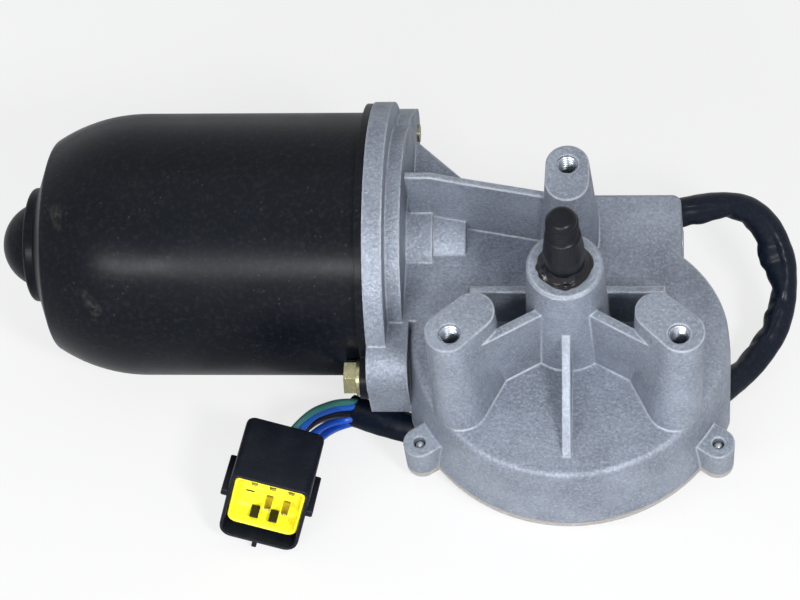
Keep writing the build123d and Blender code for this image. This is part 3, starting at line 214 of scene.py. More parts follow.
def piece_from(mesh, body, replaced=(), smooth=True):
    """A shown piece for a mesh that is already in place; it rides on a body and may stand for CAD nodes."""
    piece = bpy.data.objects.new(mesh.name, mesh)
    scene.collection.objects.link(piece)
    mesh.polygons.foreach_set("use_smooth", [smooth] * len(mesh.polygons))
    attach(piece, body)
    if replaced:
        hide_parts(*replaced)
    return piece


# %% [markdown]
# ## The crinkled sleeve
# The cable runs in a soft plastic tube, which flattens and buckles on the inside of its bend. A round curve can't
# show that, so the tube is a mesh: at each point of the spline a ring is drawn that is wider towards one side than
# towards the other, and the two widths change along the way.

# %% Sleeve: a ring with two widths carried along the spline
SLEEVE_RUN = [0, 10, 20, 25, 30, 40, 45, 50, 55, 60, 65, 70, 75, 80, 90, 100, 120, 160, 205, 240]
OUTER_REACH = [3.4, 4.2, 4.5, 4.5, 4.4, 4.3, 4.2, 4.4, 4.3, 4.5, 5.0, 5.5, 5.9, 6.0, 6.0, 5.3, 4.6, 4.4, 5.2, 5.3]
INNER_REACH = [6.5, 5.8, 4.0, 4.8, 5.4, 6.4, 7.6, 7.9, 6.0, 4.1, 3.9, 4.2, 3.0, 3.4, 3.1, 3.8, 4.4, 4.4, 4.9, 5.0]
CREASES = [6.0, 19.0, 27.0, 41.0, 53.0, 60.5, 68.0, 75.5, 84.0, 92.0]
BAND_AXIS = np.array([0.039, -0.772, 0.634])
BENCH_GAP = 0.0004
DENT, BULGE, RIPPLE = 0.32, 0.2, 0.06


def sleeve_grid(path, rings=300, around=48):
    """Ring point = centre + side * reach * cos(a) + lift * thickness * sin(a), less small dents at the creases.

    The side direction is square to the path and to one fixed slanting direction, so the flat tube lies like a band.
    """
    run = run_along(path)
    at = np.linspace(0.0, run[-1], rings)
    centre = np.stack([np.interp(at, run, path[:, k]) for k in range(3)], axis=1)
    along = np.gradient(centre, axis=0)
    along /= np.linalg.norm(along, axis=1, keepdims=True)
    side = np.cross(BAND_AXIS, along)
    side /= np.linalg.norm(side, axis=1, keepdims=True)
    lift = np.cross(along, side)
    mm = at / MM
    outer = np.interp(mm, SLEEVE_RUN, OUTER_REACH)
    inner = np.interp(mm, SLEEVE_RUN, INNER_REACH)
    blur = np.exp(-np.linspace(-1.6, 1.6, 5) ** 2)
    smooth = lambda v: np.convolve(np.pad(v, 2, mode="edge"), blur / blur.sum(), mode="valid")
    outer, inner = smooth(outer), smooth(inner)
    turn = np.linspace(0.0, 2 * np.pi, around, endpoint=False)
    ca, sa = np.cos(turn)[None, :], np.sin(turn)[None, :]
    reach = np.where(ca > 0, outer[:, None], inner[:, None])
    thick = 4.3 - 0.25 * (reach - 4.4)
    inward = np.clip(0.5 - 0.6 * ca, 0.0, 1.0)
    dent = np.zeros((rings, around))
    for number, place in enumerate(CREASES):
        slant = 3.0 * (1 if number % 2 else -1)
        dent += DENT * np.exp(-((mm[:, None] - place - slant * sa) / 1.5) ** 2) * inward
        dent -= BULGE * np.exp(-((mm[:, None] - place - 3.4 - slant * sa) / 2.4) ** 2) * inward
    ripple = RIPPLE * np.sin(mm[:, None] * 0.9 + 2.0 * ca) * np.sin(mm[:, None] * 0.37 + 3.0 * sa)
    scale = 1.0 - (dent + ripple) / np.hypot(reach * ca, thick * sa)
    ring = side[:, None, :] * (reach * ca * scale)[..., None] + lift[:, None, :] * (thick * sa * scale)[..., None]
    grid = centre[:, None, :] + ring * MM
    grid[..., 2] = np.maximum(grid[..., 2], BENCH_GAP)
    hollow = centre[-1] + (grid[-1] - centre[-1]) * 0.84
    back = hollow - along[-1] * 5.0 * MM
    return np.concatenate([grid, hollow[None], back[None]], axis=0), centre


sleeve_points, ring_centres = sleeve_grid(sleeve_path)
sleeve_skin = grid_mesh("cable_sleeve_skin", sleeve_points[:, ::-1], caps=True)
sleeve = piece_from(sleeve_skin, "motor_unit", ["cable_sleeve"])
print("sleeve rings", len(ring_centres))

# %% [markdown]
# ## The plug
# A plug is a black nylon shell round a yellow tray that holds the terminals. Each part is a rounded rectangle that
# is carried backwards and forwards along the plug's axis while it shrinks or grows, so one function makes the
# shell, the tray, the rails and the blades.

# %% The plug's own axes and its ring function
PLUG_TURN = math.radians(4.0)
PLUG_ROLL = math.radians(-13.25)
PLUG_OUT = np.array([-math.sin(PLUG_TURN), -math.cos(PLUG_TURN), 0.0])
PLUG_FLAT = np.array([math.cos(PLUG_TURN), -math.sin(PLUG_TURN), 0.0])
PLUG_RIGHT = PLUG_FLAT * math.cos(PLUG_ROLL) + np.array([0, 0, 1.0]) * math.sin(PLUG_ROLL)
PLUG_UP = -PLUG_FLAT * math.sin(PLUG_ROLL) + np.array([0, 0, 1.0]) * math.cos(PLUG_ROLL)
PLUG_MOUTH = np.array([-93.0, -63.7, 15.15])
LEAST_CORNER = 0.25


def on_plug(points):
    """Plug millimetres (right, up, out of the mouth) to metres in the frame."""
    return on_bench(np.asarray(points, float) @ np.stack([PLUG_RIGHT, PLUG_UP, PLUG_OUT]) + PLUG_MOUTH)


def rounded_ring(low, high, top_corner, low_corner, steps=9):
    """A closed ring round a rectangle from low to high: four arcs, each centre + radius * (cos a, sin a)."""
    (x0, y0), (x1, y1) = low, high
    corners = ((x1, y1, top_corner, 0), (x0, y1, top_corner, 90), (x0, y0, low_corner, 180), (x1, y0, low_corner, 270))
    arcs = []
    for cx, cy, r, start in corners:
        a = np.radians(start + np.linspace(0, 90, steps))
        mid_x = cx - math.copysign(r, cx - (x0 + x1) / 2)
        mid_y = cy - math.copysign(r, cy - (y0 + y1) / 2)
        arcs.append(np.stack([mid_x + r * np.cos(a), mid_y + r * np.sin(a)], axis=1))
    return np.concatenate(arcs)


def ring_stack(name, low, high, corners, stations, lip=0.0, steps=9):
    """Rings at stations (inset, out): the rectangle shrinks by the inset, and the lower front lip runs out further."""
    rows = []
    for inset, out in stations:
        radii = [max(corner - inset, LEAST_CORNER) for corner in corners]
        ring = rounded_ring((low[0] + inset, low[1] + inset), (high[0] - inset, high[1] - inset), *radii, steps)
        below = np.clip((-3.0 - ring[:, 1]) / 8.0, 0.0, 1.0)
        push = lip * below ** 2 * (3 - 2 * below) * np.clip((out + 8.0) / 8.0, 0.0, 1.0)
        rows.append(np.column_stack([ring, out + push]))
    return grid_mesh(name, on_plug(np.array(rows)), caps=True)


# %% Shell, rails and peg
shell = piece_from(ring_stack(
    "plug_shell", (-13.2, -12.7), (12.1, 12.25), (2.8, 4.2),
    [(4.0, -27.7), (1.4, -27.7), (0.5, -27.4), (0.1, -26.9), (0.0, -26.2), (0.0, -18.0), (0.0, -9.0), (0.0, -4.0),
     (0.0, -0.7), (0.12, -0.3), (0.4, -0.05), (0.8, 0.0), (1.05, -0.1), (1.2, -0.4), (1.25, -4.0), (1.3, -9.5),
     (1.8, -10.0), (5.0, -10.0)], lip=2.2),
    "motor_unit", ["connector_housing"])
plug_pieces = [shell]
for side, edge in ((-1, -13.2), (1, 12.1)):
    low, high = sorted((edge - side * 0.6, edge + side * 2.0))
    rail = ring_stack("plug_rail_" + ("left" if side < 0 else "right"), (low, 2.0), (high, 4.6), (0.5, 0.5),
                      [(1.0, -16.3), (0.3, -16.3), (0.0, -15.9), (0.0, -8.0), (0.0, -0.6), (0.3, -0.2), (1.0, -0.2)])
    plug_pieces.append(piece_from(rail, "motor_unit", ["connector_housing"]))
peg = ring_stack("plug_peg", (-1.9, -14.9), (-0.3, -12.2), (0.3, 0.3),
                 [(0.6, -2.0), (0.1, -2.0), (0.0, -1.8), (0.0, 1.5), (0.1, 1.8), (0.6, 1.8)])
plug_pieces.append(piece_from(peg, "motor_unit", ["connector_housing"]))
print("shell", len(shell.data.polygons), "faces")

# %% Yellow tray, terminals, and painted shade for their wells
tray = piece_from(ring_stack(
    "plug_tray", (-11.75, -8.8), (10.8, 11.0), (2.6, 3.2),
    [(3.0, -9.6), (0.3, -9.6), (0.0, -9.3), (0.0, -4.0), (0.05, -1.3), (0.2, -0.95), (0.5, -0.75), (0.85, -0.85),
     (1.1, -1.2), (1.3, -3.0), (1.5, -6.4), (1.75, -7.2), (2.3, -7.65), (3.2, -7.75), (5.0, -7.8)]),
    "motor_unit", ["connector_insert"])
plug_pieces.append(tray)
BLADES = {
    "upper_left": (-5.54, 8.4), "upper_middle": (0.3, 8.3), "upper_right": (6.2, 8.3),
    "lower_middle": (0.05, -0.6), "lower_right": (5.6, -1.1),
}
WELL_FLOOR = -5.78
blades = []
for name, (x, y) in BLADES.items():
    blade = ring_stack("terminal_" + name, (x - 1.1, y - 0.45), (x + 1.1, y + 0.45), (0.15, 0.15),
                       [(0.3, -8.4), (0.0, -8.3), (0.0, -5.0), (0.0, -2.6), (0.1, -2.0), (0.22, -1.6), (0.32, -1.5)],
                       steps=4)
    blades.append(piece_from(blade, "motor_unit", ["connector_terminals"]))
    collar = ring_stack("terminal_seat_" + name, (x - 1.6, y - 0.95), (x + 1.6, y + 0.95), (0.3, 0.3),
                        [(0.0, -8.0), (0.0, -7.55), (0.12, -7.4), (0.5, -7.4), (0.6, -7.6)], steps=4)
    plug_pieces.append(piece_from(collar, "motor_unit", ["connector_insert"]))
# Each well, and the slit below, is a thin dark plate on the tray floor: painted shade where a socket opens, with no
# hollow behind it.
wells = []
for name, x in (("left", -3.5), ("right", 2.6)):
    rows = []
    for inset, rise in ((0.0, -0.4), (0.0, 0.05), (0.1, 0.15), (0.4, 0.18), (1.0, 0.18)):
        ring = rounded_ring((x - 1.35 + inset, -7.3 + inset), (x + 1.35 - inset, -2.2 - inset), 0.25, 0.25, 4)
        rows.append(np.column_stack([ring[:, 0], np.full(len(ring), WELL_FLOOR + rise), ring[:, 1]]))
    well = grid_mesh("tray_well_" + name, on_plug(np.array(rows))[:, ::-1], caps=True)
    wells.append(piece_from(well, "motor_unit", ["connector_insert"]))
slit = ring_stack("tray_slit", (-7.9, -0.9), (-5.0, -0.35), (0.15, 0.15),
                  [(0.0, -7.9), (0.0, -7.7), (0.06, -7.66), (0.2, -7.68)], steps=3)
wells.append(piece_from(slit, "motor_unit", ["connector_insert"]))
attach(sleeve, "motor_unit")
print("plug", len(plug_pieces) + len(blades) + len(wells), "pieces")

# %% [markdown]
# ## Threads
# A thread is a tube whose radius goes up and down once per turn along its length. The grid runs round and along,
# and the radius is read from a triangle wave of (height / pitch - turn). The ends fade out so that they stay round.

# %% Thread surface
def triangle(phase):
    """A wave between 0 and 1 with straight flanks and slightly flattened tips."""
    saw = np.abs(2.0 * (phase - np.floor(phase + 0.5)))
    return np.clip(saw * 1.3 - 0.12, 0.0, 1.0)


def thread_grid(radius, depth, pitch, length, around=64, per_turn=10, fade=0.6, sign=1.0):
    """Points (x, y, z) round the Z axis: radius + sign * depth * wave(z / pitch - turn / 2 pi), fading at both ends."""
    rows = int(length / pitch * per_turn) + 1
    z = np.linspace(0.0, length, rows)[:, None]
    turn = np.linspace(0.0, 2 * np.pi, around, endpoint=False)[None, :]
    ends = np.clip(np.minimum(z, length - z) / (fade * pitch), 0.0, 1.0)
    r = radius + sign * depth * triangle(z / pitch - turn / (2 * np.pi)) * ends
    return np.stack([r * np.cos(turn), r * np.sin(turn), np.repeat(z, around, axis=1)], axis=-1)


def turned(profile, around=64):
    """A profile of (radius, height) carried round the Z axis."""
    profile = np.asarray(profile, float)
    turn = np.linspace(0.0, 2 * np.pi, around, endpoint=False)[None, :]
    r, z = profile[:, :1], profile[:, 1:]
    return np.stack([r * np.cos(turn), r * np.sin(turn), np.repeat(z, around, axis=1)], axis=-1)


# %% Threads in the three mounting holes
MOUNT_RING = 40.0
HOLE_RADIUS, HOLE_DEPTH = 3.385, 17.3
HOLE_PITCH, HOLE_THREAD = 1.25, 0.6
HOLE_FLOOR = 45.6
HOLES = {"rear": 90.0, "left": 210.0, "right": 330.0}
hole_threads = []
for name, angle in HOLES.items():
    x, y = MOUNT_RING * math.cos(math.radians(angle)), MOUNT_RING * math.sin(math.radians(angle))
    wall = thread_grid(HOLE_RADIUS, HOLE_THREAD, HOLE_PITCH, HOLE_DEPTH, sign=-1.0) + np.array([x, y, HOLE_FLOOR])
    floor = turned([(0.05, 44.6), (3.2, 45.4)]) + np.array([x, y, 0.0])
    skin = grid_mesh("hole_thread_" + name, placed(np.concatenate([floor, wall]))[:, ::-1])
    hole_threads.append(piece_from(skin, "motor_unit"))
print("hole threads", len(hole_threads[0].data.polygons), "faces each")

# %% Output shaft: journal, serrated taper and thread in one skin
CLIP_Z = 66.8
SHAFT_RADIUS = 6.3
TOOTH_HEIGHT = 0.14


def shaft_grid(around=240, teeth=60):
    """Radius of the profile at each height, plus teeth on the taper: 0.14 * wave(teeth * turn) where the taper runs."""
    low = [(0.3, 3.0), (5.7, 3.0), (SHAFT_RADIUS, 3.6), (SHAFT_RADIUS, CLIP_Z), (5.7, CLIP_Z + 0.02),
           (5.7, CLIP_Z + 1.18), (SHAFT_RADIUS, CLIP_Z + 1.2), (SHAFT_RADIUS, 76.0), (SHAFT_RADIUS, 78.9)]
    taper = [(SHAFT_RADIUS - 0.9 * k, 79.0 + 9.7 * k) for k in np.linspace(0, 1, 16)]
    body = turned(low + taper + [(4.6, 88.95)], around)
    turn = np.linspace(0.0, 2 * np.pi, around, endpoint=False)[None, :]
    height = body[..., 2]
    mask = np.clip((height - 79.2) / 0.6, 0, 1) * np.clip((88.6 - height) / 0.5, 0, 1)
    reach = np.maximum(np.hypot(body[..., 0], body[..., 1]), 1.0)
    gain = 1.0 + mask * TOOTH_HEIGHT * (triangle(teeth * turn / (2 * np.pi)) - 0.5) / reach
    body[..., :2] *= gain[..., None]
    thread = thread_grid(4.5, 0.48, 1.5, 8.2, around=around, per_turn=12, fade=0.7) + np.array([0, 0, 89.0])
    tip = turned([(4.5, 97.25), (4.35, 97.5), (4.0, 98.0), (3.5, 98.4), (2.9, 98.62), (2.0, 98.72), (0.9, 98.76),
                  (0.2, 98.77)], around)
    return np.concatenate([body, thread, tip])


shaft_skin = piece_from(grid_mesh("output_shaft_skin", placed(shaft_grid()), caps=True), "output", ["output_shaft"])
print("shaft", len(shaft_skin.data.polygons), "faces")

# %% [markdown]
# ## Grease and screw tips
# Dark grease is pushed out round the shaft and beads on the rim of the boss. It is a skin over rings of growing
# radius, whose height is a sum of soft bumps, with five round beads standing in it. The cover screws end inside
# their lugs, so a copy of the screws is merged and the ends of the two front ones are drawn down and in.

# %% Grease
SWELLS = (
    (-150.0, 7.9, 10.0, 1.0), (-86.0, 8.2, 10.0, 1.15), (-173.0, 8.0, 9.0, 0.6),
    (-66.0, 7.7, 8.0, 0.6), (8.0, 8.0, 20.0, 0.5), (120.0, 7.8, 16.0, 0.45),
)
BEADS = ((-151.0, 7.6, 1.15), (-88.0, 7.7, 1.3), (-70.0, 7.4, 0.8), (-172.0, 7.9, 0.8), (10.0, 7.9, 0.9))
BEAD_HEIGHT = 70.25


def grease_grid(around=180):
    """Rings from the shaft outwards; height = a slope off the shaft plus swells, each a bell over angle and radius."""
    turn = np.linspace(0.0, 2 * np.pi, around, endpoint=False)[None, :]
    wave = lambda n, a, p: a * np.sin(n * turn + p)
    edge = 8.35 + wave(3, 0.12, 0.4) + wave(7, 0.1, 1.1) + wave(13, 0.07, 2.0)
    spill = np.zeros_like(turn)
    for angle, reach, width, tall in SWELLS:
        gap = (np.degrees(turn) - angle + 180.0) % 360.0 - 180.0
        spill = np.maximum(spill, (reach + 0.9 - edge) * np.exp(-(gap / width) ** 2))
    edge = edge + spill
    t = np.linspace(0.0, 1.0, 26)[:, None]
    radius = 6.25 + (edge - 6.25) * t
    crest = 0.9 + wave(5, 0.35, 0.2) + wave(11, 0.2, 0.9)
    height = 69.95 + (2.0 + crest) * (1 - t) ** 3 + 0.55 * np.sqrt(np.clip(1 - t ** 6, 0, 1))
    height = height + 0.12 * np.sin(9 * t + 4 * turn) * (1 - t)
    for angle, reach, width, tall in SWELLS:
        gap = (np.degrees(turn) - angle + 180.0) % 360.0 - 180.0
        height = height + tall * np.exp(-(gap / width) ** 2 - ((radius - reach) / 0.9) ** 2)
    radius = np.concatenate([radius, edge - 0.05, np.full_like(turn, 8.2)])
    height = np.concatenate([height, np.full_like(turn, 69.9), np.full_like(turn, 68.6)])
    return np.stack([radius * np.cos(turn), radius * np.sin(turn), height], axis=-1)


bead_skins = []
for number, (angle, reach, size) in enumerate(BEADS):
    spot = np.array([reach * math.cos(math.radians(angle)), reach * math.sin(math.radians(angle)), BEAD_HEIGHT])
    sink = np.linspace(-0.49 * np.pi, 0.49 * np.pi, 14)
    ball = turned(np.stack([size * np.cos(sink), 0.85 * size * np.sin(sink)], axis=1), 28) + spot
    bead_skins.append(piece_from(grid_mesh("grease_bead_" + str(number + 1), placed(ball), caps=True), "motor_unit"))
grease = piece_from(grid_mesh("shaft_grease", placed(grease_grid())[::-1]), "motor_unit")
print("grease", len(grease.data.polygons), "faces")

# %% Cover screws with their ends drawn in
def merged_copy(node, name):
    """A copy of a CAD mesh with its doubles merged."""
    shape = bmesh.new()
    shape.from_mesh(node.data)
    bmesh.ops.remove_doubles(shape, verts=shape.verts, dist=0.000002)
    mesh = bpy.data.meshes.new(name)
    shape.to_mesh(mesh)
    shape.free()
    return mesh


screws = merged_copy(nodes["cover_screws"], "cover_screw_set")
spots = np.empty(len(screws.vertices) * 3)
screws.vertices.foreach_get("co", spots)
local = (spots.reshape(-1, 3) - FOOT) / MM @ AXES.T
TIP_DROP, TIP_SHRINK = 2.7, 0.62
for x in (-47.3, 47.3):
    centre = np.array([x, -32.3])
    tip = (np.hypot(*(local[:, :2] - centre).T) < 3.0) & (local[:, 2] > 6.0)
    local[tip, 2] -= TIP_DROP
    local[tip, :2] = centre + (local[tip, :2] - centre) * TIP_SHRINK
screws.vertices.foreach_set("co", placed(local).ravel())
screw_set = piece_from(screws, "motor_unit", ["cover_screws"])
print("screws", len(screws.vertices), "points")

# %% [markdown]
# ## Effects shared by the finishes
# Real surfaces are never one colour: castings are speckled, paint has a fine ripple, edges are polished by hands and
# tools, and dust lies on what faces up. The edge colour also paints a highlight, along hollow corners as well as outer
# edges, and rare bright cells are painted glints. Each effect is one node group, and each finish uses it with its own
# numbers.

# %% Building blocks for node groups
def new_group(name, inputs, outputs):
    """An empty shader group with float, colour or vector sockets, and its two end nodes."""
    tree = bpy.data.node_groups.new(name, "ShaderNodeTree")
    kinds = {"f": "NodeSocketFloat", "c": "NodeSocketColor", "v": "NodeSocketVector"}
    for label, kind, value in inputs:
        socket = tree.interface.new_socket(label, in_out="INPUT", socket_type=kinds[kind])
        if value is not None:
            socket.default_value = value
    for label, kind in outputs:
        tree.interface.new_socket(label, in_out="OUTPUT", socket_type=kinds[kind])
    return tree, tree.nodes.new("NodeGroupInput"), tree.nodes.new("NodeGroupOutput")


def add_node(tree, kind, settings=None, inputs=None):
    """A node with its settings and unlinked input values; a value that is a socket is linked."""
    made = tree.nodes.new("ShaderNode" + kind)
    for key, value in (settings or {}).items():
        setattr(made, key, value)
    for key, value in (inputs or {}).items():
        socket = made.inputs[key]
        if isinstance(value, bpy.types.NodeSocket):
            tree.links.new(value, socket)
        else:
            socket.default_value = value
    return made


def maths(tree, operation, *values, clamp=False):
    """One Math node's output."""
    made = add_node(tree, "Math", {"operation": operation, "use_clamp": clamp}, dict(enumerate(values)))
    return made.outputs[0]


def mixed(tree, factor, a, b):
    """A colour between a and b."""
    made = add_node(tree, "Mix", {"data_type": "RGBA"})
    for index, value in ((0, factor), (6, a), (7, b)):
        if isinstance(value, bpy.types.NodeSocket):
            tree.links.new(value, made.inputs[index])
        else:
            made.inputs[index].default_value = value
    return made.outputs[2]


def stretched(tree, value, low, high, out_low=0.0, out_high=1.0):
    """A value moved from one range to another and clamped."""
    made = add_node(tree, "MapRange", {"clamp": True}, {0: value, 1: low, 2: high, 3: out_low, 4: out_high})
    return made.outputs[0]


# %% Rounded edges, and a mask for their wear and painted highlight
tree, start, end = new_group("rounded_edges", [("Radius", "f", 0.0006)], [("Normal", "v"), ("Edge", "f")])
bevel = add_node(tree, "Bevel", {"samples": 4}, {"Radius": start.outputs["Radius"]})
facing = add_node(tree, "NewGeometry")
match = add_node(tree, "VectorMath", {"operation": "DOT_PRODUCT"}, {0: bevel.outputs[0], 1: facing.outputs["Normal"]})
tree.links.new(bevel.outputs[0], end.inputs["Normal"])
tree.links.new(stretched(tree, match.outputs["Value"], 0.995, 0.8), end.inputs["Edge"])
ROUNDED = tree

# %% Speckle of a blasted casting or moulded grain, with painted glints
tree, start, end = new_group("speckle", [("Scale", "f", 1200.0), ("Bias", "f", 0.5)],
                             [("Light", "f"), ("Pit", "f"), ("Height", "f"), ("Star", "f")])
place = add_node(tree, "TexCoord").outputs["Object"]
fine = add_node(tree, "TexNoise", {"noise_dimensions": "3D"},
                {"Vector": place, "Scale": start.outputs["Scale"], "Detail": 3.0, "Roughness": 0.65})
cells = add_node(tree, "TexVoronoi", {"feature": "F1"}, {"Vector": place, "Scale": start.outputs["Scale"]})
rough = maths(tree, "MULTIPLY", start.outputs["Scale"], 0.35)
coarse = add_node(tree, "TexNoise", {}, {"Vector": place, "Scale": rough, "Detail": 2.0})
light = stretched(tree, fine.outputs["Fac"], 0.5, 0.68)
pit = stretched(tree, fine.outputs["Fac"], 0.46, 0.3)
tree.links.new(light, end.inputs["Light"])
tree.links.new(pit, end.inputs["Pit"])
shade = add_node(tree, "SeparateColor", {}, {"Color": cells.outputs["Color"]})
# The rare bright cells are painted glints: sparkle painted as colour, not grain.
glint = maths(tree, "MULTIPLY", stretched(tree, cells.outputs["Distance"], 0.3, 0.1),
             maths(tree, "GREATER_THAN", shade.outputs[0], 0.93))
tree.links.new(glint, end.inputs["Star"])
height = maths(tree, "ADD", maths(tree, "MULTIPLY", fine.outputs["Fac"], 0.6),
               maths(tree, "MULTIPLY", cells.outputs["Distance"], -0.35))
height = maths(tree, "ADD", height, maths(tree, "MULTIPLY", coarse.outputs["Fac"], start.outputs["Bias"]))
tree.links.new(height, end.inputs["Height"])
SPECKLE = tree

# %% Slow clouds of tone
tree, start, end = new_group("clouds", [("Scale", "f", 40.0), ("Contrast", "f", 1.0)], [("Tone", "f")])
place = add_node(tree, "TexCoord").outputs["Object"]
cloud = add_node(tree, "TexNoise", {},
                 {"Vector": place, "Scale": start.outputs["Scale"], "Detail": 5.0, "Roughness": 0.55})
tone = maths(tree, "ADD",
             maths(tree, "MULTIPLY", maths(tree, "SUBTRACT", cloud.outputs["Fac"], 0.5), start.outputs["Contrast"]),
             0.5, clamp=True)
tree.links.new(tone, end.inputs["Tone"])
CLOUDS = tree

# %% Fine scratches, long along one direction
tree, start, end = new_group("scratches", [("Stretch", "v", (30.0, 900.0, 900.0)), ("Amount", "f", 0.5)],
                             [("Line", "f")])
place = add_node(tree, "TexCoord").outputs["Object"]
drawn = add_node(tree, "VectorMath", {"operation": "MULTIPLY"}, {0: place, 1: start.outputs["Stretch"]})
lines = add_node(tree, "TexNoise", {}, {"Vector": drawn.outputs[0], "Scale": 1.0, "Detail": 4.0, "Roughness": 0.7})
thin = stretched(tree, lines.outputs["Fac"], 0.58, 0.7)
tree.links.new(maths(tree, "MULTIPLY", thin, start.outputs["Amount"]), end.inputs["Line"])
SCRATCHES = tree

# %% Dust on what faces up
tree, start, end = new_group("dust", [("Amount", "f", 0.3), ("Scale", "f", 160.0)], [("Dust", "f")])
place = add_node(tree, "TexCoord").outputs["Object"]
facing = add_node(tree, "NewGeometry")
split = add_node(tree, "SeparateXYZ", {}, {0: facing.outputs["Normal"]})
patch = add_node(tree, "TexNoise", {},
                 {"Vector": place, "Scale": start.outputs["Scale"], "Detail": 6.0, "Roughness": 0.7})
up = stretched(tree, split.outputs["Z"], 0.2, 1.0)
film = maths(tree, "MULTIPLY", up, stretched(tree, patch.outputs["Fac"], 0.42, 0.72))
tree.links.new(maths(tree, "MULTIPLY", film, start.outputs["Amount"]), end.inputs["Dust"])
DUST = tree

# %% A rub mark between two points
tree, start, end = new_group("rub_mark", [("Start", "v", None), ("Way", "v", None), ("Width", "f", 0.004)],
                             [("Rub", "f")])
place = add_node(tree, "TexCoord").outputs["Object"]
offset = add_node(tree, "VectorMath", {"operation": "SUBTRACT"}, {0: place, 1: start.outputs["Start"]}).outputs[0]
dot = lambda a, b: add_node(tree, "VectorMath", {"operation": "DOT_PRODUCT"}, {0: a, 1: b}).outputs["Value"]
part = maths(tree, "DIVIDE", dot(offset, start.outputs["Way"]), dot(start.outputs["Way"], start.outputs["Way"]),
             clamp=True)
foot = add_node(tree, "VectorMath", {"operation": "SCALE"}, {0: start.outputs["Way"], "Scale": part}).outputs[0]
away = add_node(tree, "VectorMath", {"operation": "DISTANCE"}, {0: offset, 1: foot}).outputs["Value"]
grit = add_node(tree, "TexNoise", {}, {"Vector": place, "Scale": 420.0, "Detail": 6.0, "Roughness": 0.75})
band = maths(tree, "SUBTRACT", 1.0, maths(tree, "DIVIDE", away, start.outputs["Width"]), clamp=True)
mark = maths(tree, "MULTIPLY", maths(tree, "POWER", band, 0.6), stretched(tree, grit.outputs["Fac"], 0.4, 0.66))
tree.links.new(mark, end.inputs["Rub"])
RUB = tree
print("effects", [g.name for g in (ROUNDED, SPECKLE, CLOUDS, SCRATCHES, DUST, RUB)])


# %% One recipe for a plain finish
def placed_group(tree, group, **values):
    """A node group in a material, with its inputs set."""
    made = tree.nodes.new("ShaderNodeGroup")
    made.node_tree = group
    for key, value in values.items():
        made.inputs[key].default_value = value
    return made


# The colour of the painted glints on the casting and, faintly, on the can.
GLINT_TONE = (0.62, 0.66, 0.72, 1)
SMEAR_TONE = (0.05, 0.047, 0.045, 1)
DUST_TONE = (0.42, 0.41, 0.4, 1)


def finish(name, colour, second, roughness, metallic=0.0, grain=(1500.0, 0.3), bump=0.00004, edge=None,
           edge_amount=0.5, dust=0.2, clouds=(40.0, 1.2), radius=0.0004, scratch=None, rough_spread=0.12, coat=0.0,
           specular=0.5, glints=0.0, smear=None):
    """Colour drifts between two tones with clouds and speckle, with painted glints if asked; edges turn to the edge
    colour, partly wear and partly a painted highlight; dust lies on top.
    """
    material = bpy.data.materials.new(name)
    material.use_nodes = True
    tree = material.node_tree
    shader = tree.nodes["Principled BSDF"]
    rounded = placed_group(tree, ROUNDED, Radius=radius)
    speck = placed_group(tree, SPECKLE, Scale=grain[0], Bias=grain[1])
    cloud = placed_group(tree, CLOUDS, Scale=clouds[0], Contrast=clouds[1])
    powder = placed_group(tree, DUST, Amount=dust)
    base = mixed(tree, cloud.outputs["Tone"], (*colour, 1), (*second, 1))
    light = tuple(min(1.0, c * 1.35 + 0.01) for c in colour)
    dark = tuple(c * 0.6 for c in second)
    base = mixed(tree, maths(tree, "MULTIPLY", speck.outputs["Light"], 0.55), base, (*light, 1))
    base = mixed(tree, maths(tree, "MULTIPLY", speck.outputs["Pit"], 0.5), base, (*dark, 1))
    if scratch is not None:
        line = placed_group(tree, SCRATCHES, Stretch=scratch, Amount=0.6)
        base = mixed(tree, line.outputs["Line"], base, (*light, 1))
    if glints:
        base = mixed(tree, maths(tree, "MULTIPLY", speck.outputs["Star"], glints), base, GLINT_TONE)
    if smear is not None:
        rub = placed_group(tree, RUB, Start=tuple(smear[0]), Way=tuple(smear[1] - smear[0]), Width=smear[2])
        base = mixed(tree, rub.outputs["Rub"], base, SMEAR_TONE)
    # Edges, outer ones and hollow corners alike, turn to the edge colour: partly wear, partly a painted highlight.
    edge_wear_and_highlight_tone = edge if edge is not None else light
    edge_wear_and_highlight = maths(tree, "MULTIPLY", rounded.outputs["Edge"],
                 maths(tree, "MULTIPLY", cloud.outputs["Tone"], edge_amount * 2), clamp=True)
    base = mixed(tree, edge_wear_and_highlight, base, (*edge_wear_and_highlight_tone, 1))
    base = mixed(tree, powder.outputs["Dust"], base, DUST_TONE)
    tree.links.new(base, shader.inputs["Base Color"])
    rough = maths(tree, "ADD",
                  maths(tree, "MULTIPLY", maths(tree, "SUBTRACT", cloud.outputs["Tone"], 0.5), rough_spread * 2),
                  roughness)
    rough = maths(tree, "ADD", rough, maths(tree, "MULTIPLY", powder.outputs["Dust"], 0.3), clamp=True)
    tree.links.new(rough, shader.inputs["Roughness"])
    shader.inputs["Metallic"].default_value = metallic
    shader.inputs["Coat Weight"].default_value = coat
    shader.inputs["Coat Roughness"].default_value = 0.25
    shader.inputs["Specular IOR Level"].default_value = specular
    relief = add_node(tree, "Bump", {},
                      {"Height": speck.outputs["Height"], "Strength": 0.6, "Distance": bump,
                       "Normal": rounded.outputs["Normal"]})
    tree.links.new(relief.outputs[0], shader.inputs["Normal"])
    return material
